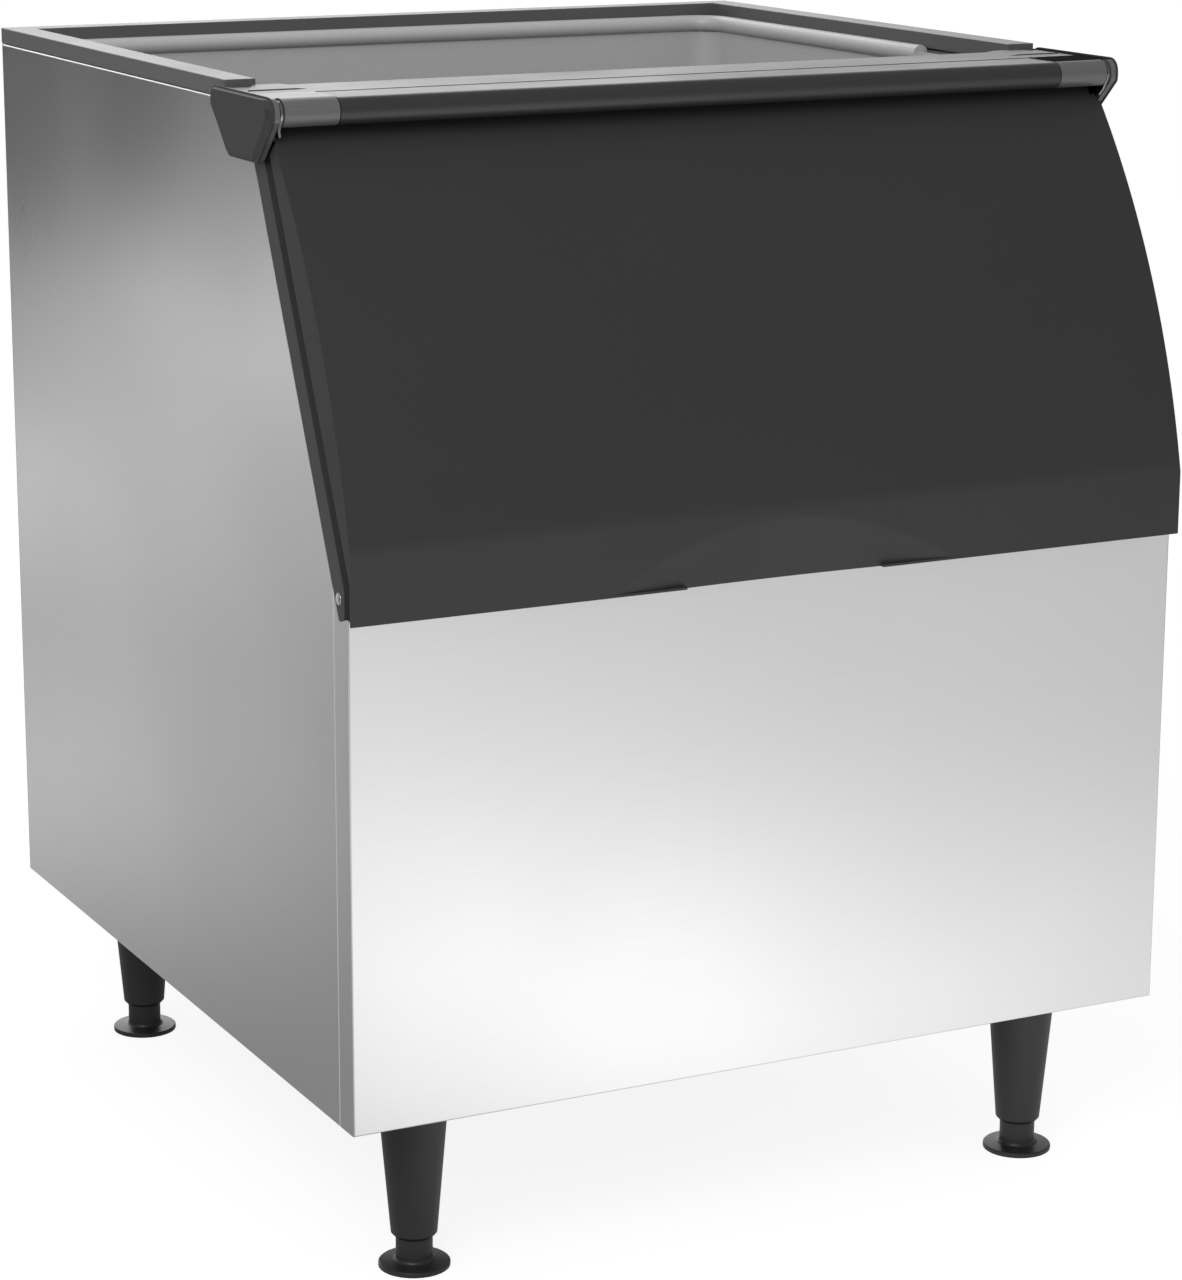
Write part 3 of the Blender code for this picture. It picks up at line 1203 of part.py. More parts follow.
def door_arm(side, where):
    """A steel arm: a round hub in the bracket's slot and a joggled strap inside the door's flange."""
    strap_back = DOOR_STANDOFF + ARM_BACK_CLEARANCE
    strap_front = strap_back + ARM_STRAP
    end_s = HINGE_S - ARM_LENGTH
    neck_z = HINGE_Z - ARM_NECK_DROP
    neck_s = slope_s(slope_y(neck_z, strap_front), neck_z)
    hub = arc((HINGE_Y, HINGE_Z), ARM_HUB, 0, 7 * pi / 6, ARC_STEPS)
    outline = [
        *hub,
        (HINGE_Y - ARM_NECK_FRONT, HINGE_Z - ARM_CHIN_DROP),
        (HINGE_Y, neck_z),
        (slope_y(neck_z, strap_front), neck_z),
        slope_point(end_s, strap_front),
        slope_point(end_s, strap_back),
        slope_point(neck_s, strap_back),
        (HINGE_Y + ARM_NECK_SETBACK, HINGE_Z - ARM_CHIN_DROP),
    ]
    name = f"door_arm_{where}"
    mesh = outline_mesh(name, outline, *mirrored(side, ARM_INNER_X, ARM_OUTER_X))
    joggle_arm(mesh, side)
    arm = add_part(name, mesh, BRIGHT_STEEL, DOOR_HINGE)
    axle = (HINGE_Y, HINGE_Z)
    span = mirrored(side, SLOT_INNER_X - OVERRUN, SLOT_OUTER_X + OVERRUN)
    cut(arm, rod_mesh(f"{name}_eye", axle, BUSH_RADIUS + GAP, *span, "X", ARC_STEPS * 2))
    bush = f"hinge_bush_{where}"
    bush_x = mirrored(side, SLOT_INNER_X + GAP, SLOT_OUTER_X - GAP)
    mesh = rod_mesh(bush, axle, BUSH_RADIUS, *bush_x, "X", ARC_STEPS * 2)
    ring = add_part(bush, mesh, BLACK_PLASTIC, DOOR_HINGE)
    cut(ring, rod_mesh(f"{bush}_bore", axle, PIN_RADIUS + GAP, *span, "X", ARC_STEPS * 2))
    for index, level in enumerate(("lower", "upper")):
        s = end_s + ARM_SCREW_END + ARM_SCREW_PITCH * index
        centre = slope_point(s, strap_back + ARM_STRAP / 2)
        hole = f"{name}_hole_{level}"
        cut(arm, rod_mesh(hole, centre, SCREW_RADIUS + GAP, *span, "X", ARC_STEPS))
        seat = (side * (STRAP_INNER_X - GAP), *centre)
        turn = (0, -side * pi / 2, 0)
        screw(f"arm_screw_{where}_{level}", seat, turn, ARM_SCREW_HEAD, DOOR_HINGE, ARM_SHEET + GAP)


def joggle_arm(mesh, side):
    """Offset the strap inwards below two bend lines, which are cut across the plate first."""
    bend_top = HINGE_Z - ARM_JOGGLE_TOP
    bend_low = bend_top - ARM_JOGGLE_RUN
    work = bmesh.new()
    work.from_mesh(mesh)
    for height in (bend_top, bend_low):
        everything = [*work.verts, *work.edges, *work.faces]
        bmesh.ops.bisect_plane(work, geom=everything, plane_co=(0, 0, height), plane_no=(0, 0, 1))
    for vert in work.verts:
        if vert.co.z < bend_low + WELD:
            vert.co.x -= side * ARM_JOGGLE
    work.to_mesh(mesh)
    work.free()


bpy.context.view_layer.update()
front_panel()
back_panel()
base_pan()
legs()
liner()
insulation()
drain()
top_rail()
door_frame()
header()
door_shell()
door_inside()
for side, where in ((-1, "left"), (1, "right")):
    side_panel(side, f"side_panel_{where}")
    hinge_bracket(side, where)
    end_cap(side, where)
    door_arm(side, where)
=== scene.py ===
"""Looks of the ice storage bin: finishes, softened edges, fine detail, studio, lamp and camera."""

import json
from math import copysign, radians

import bpy
from mathutils import Matrix, Vector


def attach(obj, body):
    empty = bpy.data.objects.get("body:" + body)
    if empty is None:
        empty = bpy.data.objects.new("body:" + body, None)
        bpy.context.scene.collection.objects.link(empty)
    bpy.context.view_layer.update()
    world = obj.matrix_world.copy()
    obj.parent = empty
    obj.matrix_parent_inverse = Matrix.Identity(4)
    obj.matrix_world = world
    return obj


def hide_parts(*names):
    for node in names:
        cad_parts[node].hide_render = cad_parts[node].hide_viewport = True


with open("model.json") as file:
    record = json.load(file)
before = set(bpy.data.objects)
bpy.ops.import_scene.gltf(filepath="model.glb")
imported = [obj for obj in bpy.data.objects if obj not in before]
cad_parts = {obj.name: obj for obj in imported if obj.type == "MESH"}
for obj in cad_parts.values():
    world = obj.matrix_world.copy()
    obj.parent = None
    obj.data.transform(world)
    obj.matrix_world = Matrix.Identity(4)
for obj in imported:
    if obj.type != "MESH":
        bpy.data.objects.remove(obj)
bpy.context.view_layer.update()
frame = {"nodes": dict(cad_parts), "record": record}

NODES = frame["nodes"]
BODY_OF = {
    node: body for body, nodes in frame["record"]["behaviour"]["bodies"].items() for node in nodes
}
CORNERS = ("front_left", "front_right", "rear_left", "rear_right")

# Where a finish, a painted shade, a painted highlight or an edge changes, in metres in the CAD's
# frame
TAPE_LOW_Z = 0.880
BRACKET_TOP_Z = 0.9583
EDGE_HIGHLIGHT_Y = -0.3634
SEAM_Y = -0.3648
EAR_FRONT_Y = -0.2028
EAR_TOP_Z = 0.9590

# How quickly one finish, painted shade or painted highlight gives way to another, in metres
TAPE_FADE = 0.002
BRACKET_FADE = 0.0003
EDGE_HIGHLIGHT_FADE = 0.0002

# Small changes of form, in metres
WELD = 0.00001
SCREW_SINK = 0.0004
EAR_REACH = 0.0003
EAR_DROP = 0.0004
EAR_ROUND = 0.0007
FOLD_ROUND = 0.0022
SEAM_ROUND = 0.0008

# Edge radii, in metres
SCREW_EDGE = 0.0002
SHEET_EDGE = 0.0003
SIDE_EDGE = 0.0004
SEAL_EDGE = 0.0004
SHELL_EDGE = 0.0005
HEADER_EDGE = 0.0006
MOULDED_EDGE = 0.0008
FRAME_EDGE = 0.0012

# Angles in degrees: faces within LEVEL become one face, folds over SHARP are edges to soften, and
# folds under SMOOTH are shaded smooth. The liner's and the end caps' curves are made of coarser
# flats, which take wider angles.
LEVEL = 0.2
SHARP = 30
SMOOTH = 35
LINER_SHARP = 55
LINER_SMOOTH = 60
CAP_SMOOTH = 70

# Nodes and links that several materials share

# A colour mix names its sockets as its other kinds do, so they are picked by number
MIX_SHARE, MIX_FIRST, MIX_SECOND, MIX_COLOUR = 0, 6, 7, 2


def feed(tree, socket, value):
    """Link a socket to another one, or set it to a plain value."""
    if isinstance(value, bpy.types.NodeSocket):
        tree.links.new(value, socket)
    else:
        socket.default_value = value


def maths(tree, operation, first, second=0.0, third=0.0):
    """The result of a maths node."""
    node = tree.nodes.new("ShaderNodeMath")
    node.operation = operation
    for socket, value in zip(node.inputs, (first, second, third)):
        feed(tree, socket, value)
    return node.outputs[0]


def ramp(tree, value, span, levels, curve="LINEAR"):
    """A change from one level to another while a value goes over a span."""
    node = tree.nodes.new("ShaderNodeMapRange")
    node.interpolation_type = curve
    labels = ("Value", "From Min", "From Max", "To Min", "To Max")
    for label, given in zip(labels, (value, *span, *levels)):
        feed(tree, node.inputs[label], given)
    return node.outputs["Result"]


def blend(tree, share, first, second):
    """A colour that goes from a first one to a second one as a share grows."""
    node = tree.nodes.new("ShaderNodeMix")
    node.data_type = "RGBA"
    for index, value in ((MIX_SHARE, share), (MIX_FIRST, first), (MIX_SECOND, second)):
        feed(tree, node.inputs[index], value)
    return node.outputs[MIX_COLOUR]


def object_place(tree):
    """Each point's place in the object, in metres."""
    return tree.nodes.new("ShaderNodeTexCoord").outputs["Object"]


def object_axes(tree):
    """Each point's X, Y and Z in the object, in metres."""
    split = tree.nodes.new("ShaderNodeSeparateXYZ")
    feed(tree, split.inputs[0], object_place(tree))
    return split.outputs


def noise(tree, place, scale, detail, roughness):
    """The level of a noise pattern."""
    node = tree.nodes.new("ShaderNodeTexNoise")
    labels = ("Vector", "Scale", "Detail", "Roughness")
    for label, given in zip(labels, (place, scale, detail, roughness)):
        feed(tree, node.inputs[label], given)
    return node.outputs["Fac"]


def relief(tree, height, depth, strength):
    """The normal of a surface that a pattern raises."""
    node = tree.nodes.new("ShaderNodeBump")
    for label, given in (("Height", height), ("Distance", depth), ("Strength", strength)):
        feed(tree, node.inputs[label], given)
    return node.outputs["Normal"]


# Finishes

GROUP_OUTPUTS = {
    "Mark": "NodeSocketFloat",
    "Cloud": "NodeSocketFloat",
    "Normal": "NodeSocketVector",
}
DEPTH_INPUT = ("NodeSocketFloat", "Depth", 0.0001)


def group(name, inputs):
    """A shader node group that puts out fine marks, a slow cloud and a normal."""
    tree = bpy.data.node_groups.new(name, "ShaderNodeTree")
    for kind, label, value in inputs:
        socket = tree.interface.new_socket(label, in_out="INPUT", socket_type=kind)
        socket.default_value = value
    for label, kind in GROUP_OUTPUTS.items():
        tree.interface.new_socket(label, in_out="OUTPUT", socket_type=kind)
    return tree, tree.nodes.new("NodeGroupInput").outputs


def put_out(tree, *results):
    """Lead a group's marks, cloud and normal to its outputs."""
    out = tree.nodes.new("NodeGroupOutput")
    for label, result in zip(GROUP_OUTPUTS, results):
        feed(tree, out.inputs[label], result)
    return tree


def sheet_grain():
    """Fine rolling lines along a sheet, with slow changes of tone over it."""
    tree, given = group("sheet_grain", (("NodeSocketVector", "Stretch", (1, 1, 1)), DEPTH_INPUT))
    stretch = tree.nodes.new("ShaderNodeVectorMath")
    stretch.operation = "MULTIPLY"
    feed(tree, stretch.inputs[0], object_place(tree))
    feed(tree, stretch.inputs[1], given["Stretch"])
    lines = noise(tree, stretch.outputs[0], scale=1, detail=3, roughness=0.65)
    cloud = noise(tree, object_place(tree), scale=3.2, detail=2, roughness=0.5)
    return put_out(tree, lines, cloud, relief(tree, lines, given["Depth"], strength=0.5))


def moulded_skin():
    """The fine pebbled skin of a moulding, with faint flow marks."""
    tree, given = group("moulded_skin", (("NodeSocketFloat", "Fineness", 900.0), DEPTH_INPUT))
    place = object_place(tree)
    pebble = noise(tree, place, given["Fineness"], detail=2, roughness=0.5)
    cloud = noise(tree, place, scale=7, detail=3, roughness=0.5)
    return put_out(tree, pebble, cloud, relief(tree, pebble, given["Depth"], strength=0.6))


GRAIN = sheet_grain()
SKIN = moulded_skin()

# The levels between which a cloud mostly stays
CLOUD_SPAN = (0.3, 0.7)


def surface(name, pattern, values, tones, roughness, metallic, specular):
    """A Principled finish: its tone follows a group's marks and its roughness the cloud."""
    material = bpy.data.materials.new(name)
    material.use_nodes = True
    tree = material.node_tree
    node = tree.nodes.new("ShaderNodeGroup")
    node.node_tree = pattern
    for label, value in values:
        node.inputs[label].default_value = value
    dark, light = ((*tone, 1) for tone in tones)
    sockets = tree.nodes["Principled BSDF"].inputs
    sockets["Metallic"].default_value = metallic
    sockets["Specular IOR Level"].default_value = specular
    feed(tree, sockets["Base Color"], blend(tree, node.outputs["Mark"], dark, light))
    feed(tree, sockets["Roughness"], ramp(tree, node.outputs["Cloud"], CLOUD_SPAN, roughness))
    feed(tree, sockets["Normal"], node.outputs["Normal"])
    return material


def grey(low, high, tint=(1, 1, 1)):
    """A darker and a lighter tone of one near-grey colour."""
    return tuple(tuple(level * part for part in tint) for level in (low, high))


# Specular levels
LOW_GLOSS = 0.25
PLAIN_GLOSS = 0.5
HIGH_GLOSS = 0.62


def steel(name, stretch, depth, tones, roughness, metallic=1.0):
    """Sheet or plate: grain lines to the metre on each axis, their depth, tones and roughness."""
    values = (("Stretch", stretch), ("Depth", depth))
    return surface(name, GRAIN, values, tones, roughness, metallic, PLAIN_GLOSS)


def moulding(name, fineness, depth, tones, roughness, gloss=PLAIN_GLOSS):
    """Plastic, rubber or foam: pebbles to the metre, their depth, tones, roughness and gloss."""
    values = (("Fineness", fineness), ("Depth", depth))
    return surface(name, SKIN, values, tones, roughness, 0.0, gloss)


SATIN_FINISH = ((5, 5, 1400), 0.00002, grey(0.67, 0.73), (0.27, 0.33))
SATIN_STEEL = steel("satin_steel", *SATIN_FINISH)
# A copy of the satin finish for the side panels, which gets a painted highlight along their front
# edge
SIDE_STEEL = steel("side_steel", *SATIN_FINISH)
BRACKET_FINISH = ((3, 300, 300), 0.00006, grey(0.085, 0.185), (0.36, 0.44), 0.3)
# Two copies of one bracket finish: the second gets painted shade on its top below
BRIGHT_STEEL = steel("bright_steel", *BRACKET_FINISH)
SHADE_PAINTED_STEEL = steel("shade_painted_steel", *BRACKET_FINISH)
ARM_TONES = grey(0.24, 0.32, (0.95, 0.99, 1.05))
ARM_STEEL = steel("arm_steel", (900, 60, 60), 0.00001, ARM_TONES, (0.26, 0.34))
ZINC_TONES = grey(0.40, 0.50, (0.97, 0.99, 1.0))
GALVANISED = steel("galvanised", (40, 40, 40), 0.00005, ZINC_TONES, (0.50, 0.60))
SCREW_STEEL = steel("screw_steel", (700, 700, 700), 0.00003, grey(0.70, 0.84), (0.28, 0.36))

CAP_TONES = grey(0.034, 0.044)
BLACK_PLASTIC = moulding("black_plastic", 1500, 0.00006, CAP_TONES, (0.56, 0.62), LOW_GLOSS)
HEADER_TONES = grey(0.015, 0.027)
HEADER_PLASTIC = moulding("header_plastic", 1100, 0.0001, HEADER_TONES, (0.40, 0.48), HIGH_GLOSS)
DOOR_PLASTIC = moulding("door_plastic", 1700, 0.00004, grey(0.019, 0.025), (0.50, 0.58))
FRAME_PLASTIC = moulding("frame_plastic", 1300, 0.00006, grey(0.028, 0.038), (0.48, 0.56))
RAIL_STRIP = moulding("rail_strip", 700, 0.00005, grey(0.078, 0.096), (0.40, 0.46))
LINER_TONES = grey(0.41, 0.47)
LINER_PLASTIC = moulding("liner_plastic", 420, 0.00012, LINER_TONES, (0.36, 0.46), HIGH_GLOSS)
PANEL_PLASTIC = moulding("panel_plastic", 420, 0.00012, grey(0.42, 0.47), (0.34, 0.44))
LEG_TONES = grey(0.011, 0.015, (0.94, 0.98, 1.06))
LEG_BLACK = moulding("leg_black", 1200, 0.00005, LEG_TONES, (0.40, 0.48))
DRAIN_PLASTIC = moulding("drain_plastic", 800, 0.00006, grey(0.56, 0.64), (0.36, 0.46))
SEAL_RUBBER = moulding("seal_rubber", 1600, 0.00008, grey(0.016, 0.026), (0.62, 0.74))
FOAM_TONES = grey(0.55, 0.75, (1, 0.88, 0.56))
FOAM = moulding("foam", 380, 0.0006, FOAM_TONES, (0.82, 0.94))

TAPE_TONE = 0.11
# Painted shade: a black, dull top on the right hinge bracket
BRACKET_TOP_SHADE_TONE = 0.018
# Painted highlight: a pale matt band along the side panels' front edges
EDGE_HIGHLIGHT_TONE = 0.44


def overlay(material, axis, span, tone, fading=()):
    """A second tone that takes over across a span of an axis, while other levels fade to 0."""
    tree = material.node_tree
    sockets = tree.nodes["Principled BSDF"].inputs
    along = object_axes(tree)[axis]
    under = sockets["Base Color"].links[0].from_socket
    share = ramp(tree, along, span, (0, 1))
    feed(tree, sockets["Base Color"], blend(tree, share, under, (tone, tone, tone, 1)))
    for label in fading:
        levels = (sockets[label].default_value, 0)
        feed(tree, sockets[label], ramp(tree, along, span, levels))


# Grey sealing tape on the foam's top, painted shade that makes the right bracket's top black and
# dull, and a painted highlight as a pale matt band along the side panels' front edges
overlay(FOAM, "Z", (TAPE_LOW_Z, TAPE_LOW_Z + TAPE_FADE), TAPE_TONE)
BRACKET_SHADE_SPAN = (BRACKET_TOP_Z, BRACKET_TOP_Z + BRACKET_FADE)
overlay(SHADE_PAINTED_STEEL, "Z", BRACKET_SHADE_SPAN, BRACKET_TOP_SHADE_TONE, ("Metallic", "Specular IOR Level"))
EDGE_HIGHLIGHT_SPAN = (EDGE_HIGHLIGHT_Y, EDGE_HIGHLIGHT_Y - EDGE_HIGHLIGHT_FADE)
overlay(SIDE_STEEL, "Y", EDGE_HIGHLIGHT_SPAN, EDGE_HIGHLIGHT_TONE, ("Metallic",))

# Pieces that keep the CAD's form: a merged copy with softened edges takes the node's place


def pick(piece):
    """Make a piece the only one selected."""
    bpy.ops.object.select_all(action="DESELECT")
    piece.select_set(True)
    bpy.context.view_layer.objects.active = piece


def apply_all(piece):
    """Apply a piece's modifiers in order."""
    pick(piece)
    for modifier in list(piece.modifiers):
        bpy.ops.object.modifier_apply(modifier=modifier.name)


def shade(piece, angle):
    """Shade curves smooth and keep flat faces flat."""
    pick(piece)
    bpy.ops.object.shade_smooth_by_angle(angle=radians(angle))
    flat = piece.modifiers.new("flat", "WEIGHTED_NORMAL")
    flat.mode = "FACE_AREA"
    flat.weight = 100
    flat.keep_sharp = True
    apply_all(piece)


def soften(piece, width, segments, angle):
    """Round a piece's sharp edges."""
    bevel = piece.modifiers.new("edge", "BEVEL")
    bevel.width = width
    bevel.segments = segments
    bevel.limit_method = "ANGLE"
    bevel.angle_limit = radians(angle)
    bevel.use_clamp_overlap = True
    apply_all(piece)


def hand_over(piece, node, material):
    """Give a finished piece its material, its node's body and its node's place."""
    piece.data.materials.clear()
    piece.data.materials.append(material)
    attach(piece, BODY_OF[node])
    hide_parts(node)


def round_edges(piece, chosen, radius):
    """Round the edges whose ends are both chosen."""
    pick(piece)
    for edge in piece.data.edges:
        edge.select = all(chosen(piece.data.vertices[index].co) for index in edge.vertices)
    bpy.ops.object.mode_set(mode="EDIT")
    bpy.ops.mesh.bevel(offset=radius, segments=4, affect="EDGES")
    bpy.ops.mesh.select_all(action="DESELECT")
    bpy.ops.object.mode_set(mode="OBJECT")


def seat_screw(piece):
    """Sink a frame screw's head part of the way into the strip."""
    for vert in piece.data.vertices:
        vert.co.x -= copysign(SCREW_SINK, vert.co.x)


def ease_ears(piece):
    """Lower and round the front edges of the header's raised ears."""

    def on_ear_front(place):
        return abs(place.y - EAR_FRONT_Y) < EAR_REACH and place.z > EAR_TOP_Z

    for vert in piece.data.vertices:
        if on_ear_front(vert.co):
            vert.co.z -= EAR_DROP
    round_edges(piece, on_ear_front, EAR_ROUND)


def roll_edges(piece):
    """Round the outside of a side panel's folded top edge and of its seam with the front panel."""
    outside = max(abs(vert.co.x) for vert in piece.data.vertices) - WELD
    top = max(vert.co.z for vert in piece.data.vertices) - WELD
    round_edges(piece, lambda end: abs(end.x) > outside and end.z > top, FOLD_ROUND)
    round_edges(piece, lambda end: abs(end.x) > outside and end.y < SEAM_Y, SEAM_ROUND)


RESHAPE = {
    "frame_screw_left": seat_screw,
    "frame_screw_right": seat_screw,
    "header": ease_ears,
    "side_panel_left": roll_edges,
    "side_panel_right": roll_edges,
}


def dress(node, material, edge=0, segments=2, sharp=SHARP, smooth=SMOOTH):
    """A merged copy of a node, with its edges softened where a radius is given."""
    mesh = NODES[node].data.copy()
    piece = bpy.data.objects.new(f"{node}_finished", mesh)
    bpy.context.scene.collection.objects.link(piece)
    pick(piece)
    bpy.ops.object.mode_set(mode="EDIT")
    bpy.ops.mesh.select_all(action="SELECT")
    bpy.ops.mesh.customdata_custom_splitnormals_clear()
    bpy.ops.mesh.remove_doubles(threshold=WELD)
    bpy.ops.mesh.dissolve_limited(angle_limit=radians(LEVEL))
    bpy.ops.mesh.select_mode(type="EDGE")
    bpy.ops.mesh.select_all(action="DESELECT")
    bpy.ops.object.mode_set(mode="OBJECT")
    if node in RESHAPE:
        RESHAPE[node](piece)
    if edge:
        soften(piece, edge, segments, sharp)
    shade(piece, smooth)
    hand_over(piece, node, material)


dress("front_panel", SATIN_STEEL, SHEET_EDGE)
dress("side_panel_left", SIDE_STEEL, SIDE_EDGE)
dress("side_panel_right", SIDE_STEEL, SIDE_EDGE)
dress("back_panel", GALVANISED, SHEET_EDGE)
dress("base_pan", GALVANISED, SHEET_EDGE)
dress("door_frame", FRAME_PLASTIC, FRAME_EDGE, segments=3)
dress("header", HEADER_PLASTIC, HEADER_EDGE)
dress("top_rail", RAIL_STRIP, MOULDED_EDGE, segments=3)
dress("liner", LINER_PLASTIC, MOULDED_EDGE, sharp=LINER_SHARP, smooth=LINER_SMOOTH)
dress("door_shell", DOOR_PLASTIC, SHELL_EDGE)
dress("door_inner_panel", PANEL_PLASTIC, MOULDED_EDGE)
dress("door_seal", SEAL_RUBBER, SEAL_EDGE)
# The right bracket takes the copy with painted shade on its top
for side, bracket_steel in (("left", BRIGHT_STEEL), ("right", SHADE_PAINTED_STEEL)):
    dress(f"hinge_bracket_{side}", bracket_steel, SHEET_EDGE)
    dress(f"end_cap_{side}", BLACK_PLASTIC, FRAME_EDGE, segments=3, smooth=CAP_SMOOTH)
    dress(f"door_arm_{side}", ARM_STEEL, SHEET_EDGE)
    dress(f"frame_screw_{side}", SCREW_STEEL, SCREW_EDGE)
for corner in CORNERS:
    dress(f"leg_{corner}", LEG_BLACK)
    dress(f"foot_{corner}", LEG_BLACK)

# Pieces that are out of sight, or nearly so, keep the CAD's mesh and get only a finish
PLAIN = {
    "insulation": FOAM,
    "door_core": FOAM,
    "drain_tube": DRAIN_PLASTIC,
    "drain_nut": DRAIN_PLASTIC,
    "drain_strainer": SCREW_STEEL,
    "hinge_pin": SCREW_STEEL,
    "hinge_bush": BLACK_PLASTIC,
    "leg_plate": GALVANISED,
    "back_screw": SCREW_STEEL,
    "arm_screw": SCREW_STEEL,
}
for node, piece in NODES.items():
    for start, material in PLAIN.items():
        if node.startswith(start):
            for slot in piece.material_slots:
                slot.material = material

# Studio

# Soft pools of light that satin metal sees on the floor: x, y, width, depth and strength
FLOOR_POOLS = (
    (0.1, -0.95, 0.5, 0.6, 1.084),
    (1.6, -3.5, 2.5, 2.5, 1.134),
    (0.9, -0.9, 0.6, 0.6, 0.481),
    (-0.5, -1.9, 0.9, 0.9, 0.914),
    (-2.2, -0.7, 1.1, 1.0, 1.3),
    (1.8, 1.1, 1.5, 1.5, 0.9),
    (-0.7, 0.8, 0.5, 0.8, 0.14),
    (-0.7, 1.4, 0.5, 0.8, 0.54),
    (-1.0, 3.2, 0.5, 0.8, 0.941),
    (-1.4, 2.2, 0.5, 0.8, 0.552),
    (-1.8, 3.2, 0.5, 0.8, 0.224),
    (-2.3, 4.4, 0.5, 0.8, 1.11),
    (-3.0, 4.4, 0.5, 0.8, 4.394),
)
FLOOR_SIZE = 90

# The floor's tones: to light that bounces, as it glows to the camera, and in the shadow it keeps
BOUNCE_TONE = 0.80
FLOOR_GLOW = 0.86
SHADOW_TONE = 0.20

# The sky's levels: white to the camera, even on matt faces, and bright behind the bin for gloss,
# with the direction of that bright part and the cosines at its rim and its middle
WHITE_SKY = 1.0
EVEN_SKY = 0.72
BACK_SKY_TOWARD = (0.132, 0.942, 0.309)
BACK_SKY_COSINES = (0.809, 0.985)
BACK_SKY_LEVELS = (0.292, 2.892)

# The lamp: metres and watts
LAMP_PLACE = (-2.6, -2.6, 3.0)
LAMP_AIM = (0, 0, 0.6)
LAMP_SIZE = 2.0
LAMP_POWER = 80

# The camera that the photograph was taken from: metres, degrees, millimetres and frame widths
CAMERA_PLACE = (-1.47236, -2.93260, 1.24617)
CAMERA_AZIMUTH = 26.202
CAMERA_ELEVATION = 13.957
CAMERA_SENSOR = 36
CAMERA_LENS = 104.690
CAMERA_SHIFT = (0.0443, -0.0016)
CAMERA_REACH = 200


def glow(tree, kind, strength):
    """A white light of a strength, as an emission or a background."""
    node = tree.nodes.new(kind)
    node.inputs["Color"].default_value = (1, 1, 1, 1)
    feed(tree, node.inputs["Strength"], strength)
    return node.outputs[0]


def matt(tree, tone):
    """A plain matt grey."""
    node = tree.nodes.new("ShaderNodeBsdfDiffuse")
    node.inputs["Color"].default_value = (tone, tone, tone, 1)
    return node.outputs[0]


def choose(tree, share, first, second):
    """One shader where a share is 0 and another where it is 1."""
    node = tree.nodes.new("ShaderNodeMixShader")
    for socket, value in zip(node.inputs, (share, first, second)):
        feed(tree, socket, value)
    return node.outputs[0]


def pools_of_light(tree):
    """The strength that all the pools add up to at a point of the floor."""
    axes = object_axes(tree)
    level = 0.0
    for left, deep, wide, long, strength in FLOOR_POOLS:
        across = maths(tree, "DIVIDE", maths(tree, "SUBTRACT", axes["X"], left), wide)
        along = maths(tree, "DIVIDE", maths(tree, "SUBTRACT", axes["Y"], deep), long)
        spread = maths(tree, "MULTIPLY_ADD", across, across, maths(tree, "MULTIPLY", along, along))
        pool = maths(tree, "EXPONENT", maths(tree, "MULTIPLY", spread, -1.0))
        level = maths(tree, "MULTIPLY_ADD", pool, strength, level)
    return level


def studio_floor():
    """A pale floor that keeps a faint shadow, and shows satin metal soft pools of light."""
    bpy.ops.object.select_all(action="DESELECT")
    bpy.ops.mesh.primitive_plane_add(size=FLOOR_SIZE, location=(0, 0, 0))
    floor = bpy.context.object
    floor.name = "studio_floor"
    material = bpy.data.materials.new("studio_floor")
    material.use_nodes = True
    tree = material.node_tree
    tree.nodes.clear()
    seen = tree.nodes.new("ShaderNodeAddShader")
    feed(tree, seen.inputs[0], glow(tree, "ShaderNodeEmission", FLOOR_GLOW))
    feed(tree, seen.inputs[1], matt(tree, SHADOW_TONE))
    mirrored = glow(tree, "ShaderNodeEmission", pools_of_light(tree))
    ray = tree.nodes.new("ShaderNodeLightPath").outputs
    plain = choose(tree, ray["Is Camera Ray"], matt(tree, BOUNCE_TONE), seen.outputs[0])
    out = tree.nodes.new("ShaderNodeOutputMaterial")
    feed(tree, out.inputs["Surface"], choose(tree, ray["Is Glossy Ray"], plain, mirrored))
    floor.data.materials.append(material)


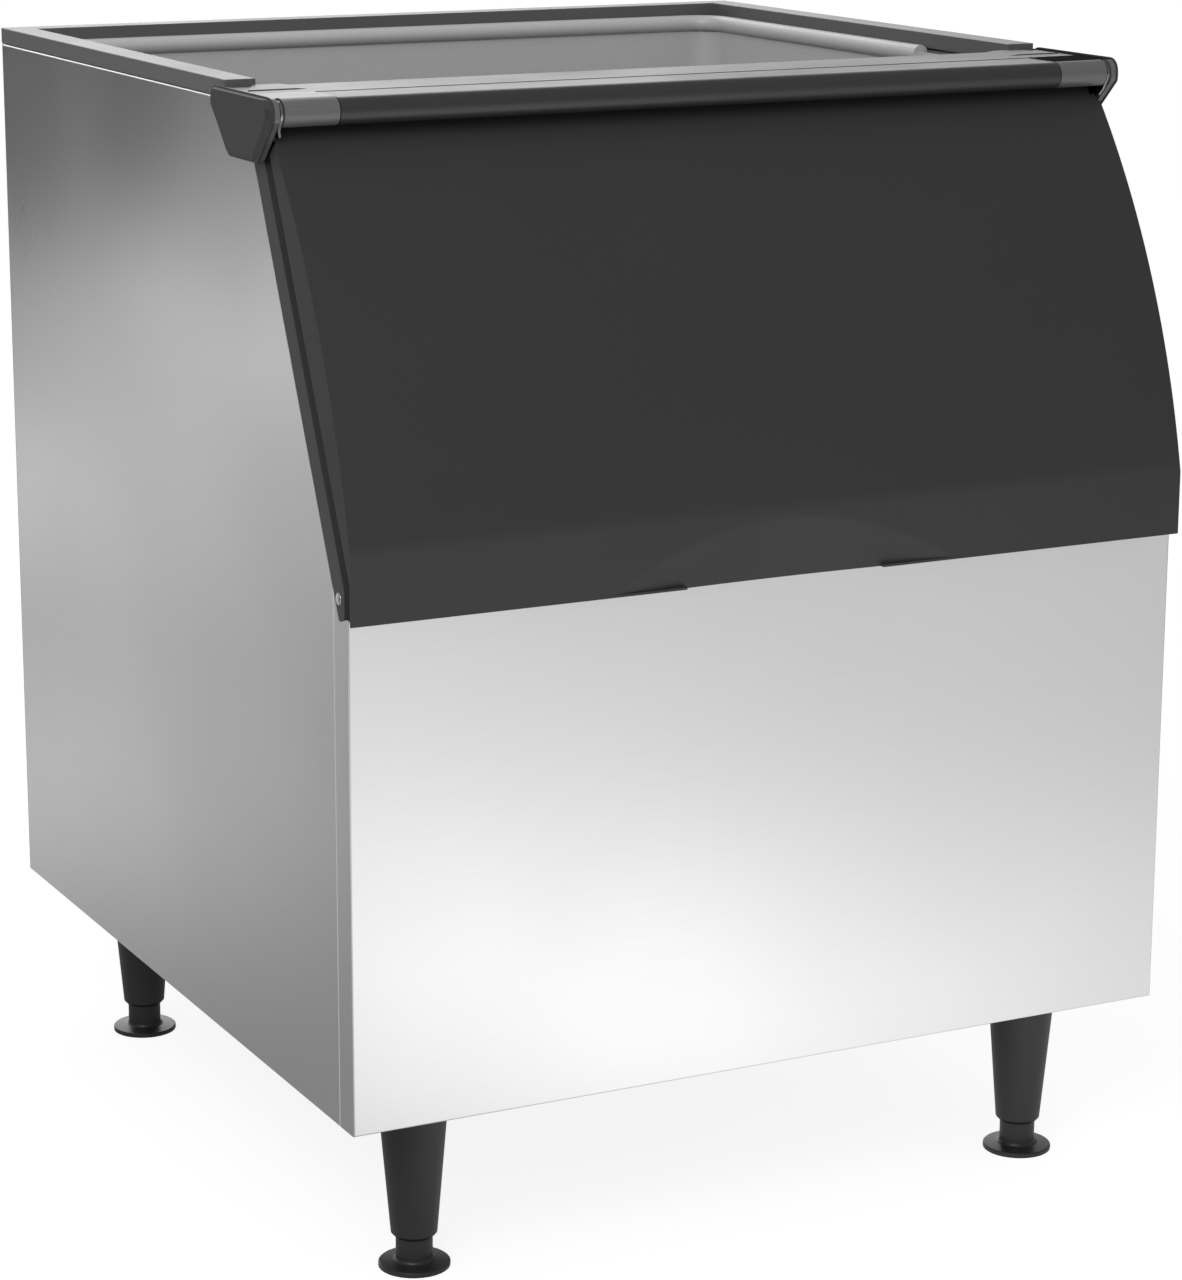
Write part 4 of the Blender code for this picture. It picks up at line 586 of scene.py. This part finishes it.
def studio_world():
    """White behind the bin, an even sky on matt faces, and a bright back sky for gloss."""
    world = bpy.data.worlds.new("studio")
    bpy.context.scene.world = world
    world.use_nodes = True
    tree = world.node_tree
    tree.nodes.clear()
    toward = tree.nodes.new("ShaderNodeVectorMath")
    toward.operation = "DOT_PRODUCT"
    feed(tree, toward.inputs[0], tree.nodes.new("ShaderNodeTexCoord").outputs["Generated"])
    feed(tree, toward.inputs[1], Vector(BACK_SKY_TOWARD).normalized())
    cosine = toward.outputs["Value"]
    shine = ramp(tree, cosine, BACK_SKY_COSINES, BACK_SKY_LEVELS, curve="SMOOTHSTEP")
    even = glow(tree, "ShaderNodeBackground", EVEN_SKY)
    back = glow(tree, "ShaderNodeBackground", shine)
    white = glow(tree, "ShaderNodeBackground", WHITE_SKY)
    ray = tree.nodes.new("ShaderNodeLightPath").outputs
    lit = choose(tree, ray["Is Glossy Ray"], even, back)
    clear = maths(tree, "MAXIMUM", ray["Is Camera Ray"], ray["Is Transmission Ray"])
    out = tree.nodes.new("ShaderNodeOutputWorld")
    feed(tree, out.inputs["Surface"], choose(tree, clear, lit, white))


def key_lamp():
    """A soft square lamp that metal doesn't mirror."""
    light = bpy.data.lights.new("key_lamp", "AREA")
    light.shape = "SQUARE"
    light.size = LAMP_SIZE
    light.energy = LAMP_POWER
    light.specular_factor = 0.0
    holder = bpy.data.objects.new("key_lamp", light)
    bpy.context.scene.collection.objects.link(holder)
    holder.location = LAMP_PLACE
    beam = Vector(LAMP_AIM) - Vector(LAMP_PLACE)
    holder.rotation_euler = beam.to_track_quat("-Z", "Y").to_euler()


def camera():
    """The photograph's viewpoint: to the left of the front, looking slightly down."""
    view = bpy.data.cameras.new("camera")
    view.sensor_width = CAMERA_SENSOR
    view.lens = CAMERA_LENS
    view.shift_x, view.shift_y = CAMERA_SHIFT
    view.clip_end = CAMERA_REACH
    holder = bpy.data.objects.new("camera", view)
    bpy.context.scene.collection.objects.link(holder)
    aside = Matrix.Rotation(radians(-CAMERA_AZIMUTH), 4, "Z")
    down = Matrix.Rotation(radians(90 - CAMERA_ELEVATION), 4, "X")
    holder.matrix_world = Matrix.Translation(CAMERA_PLACE) @ (aside @ down)
    bpy.context.scene.camera = holder


studio_floor()
studio_world()
key_lamp()
camera()
bpy.context.scene.view_settings.view_transform = "Standard"
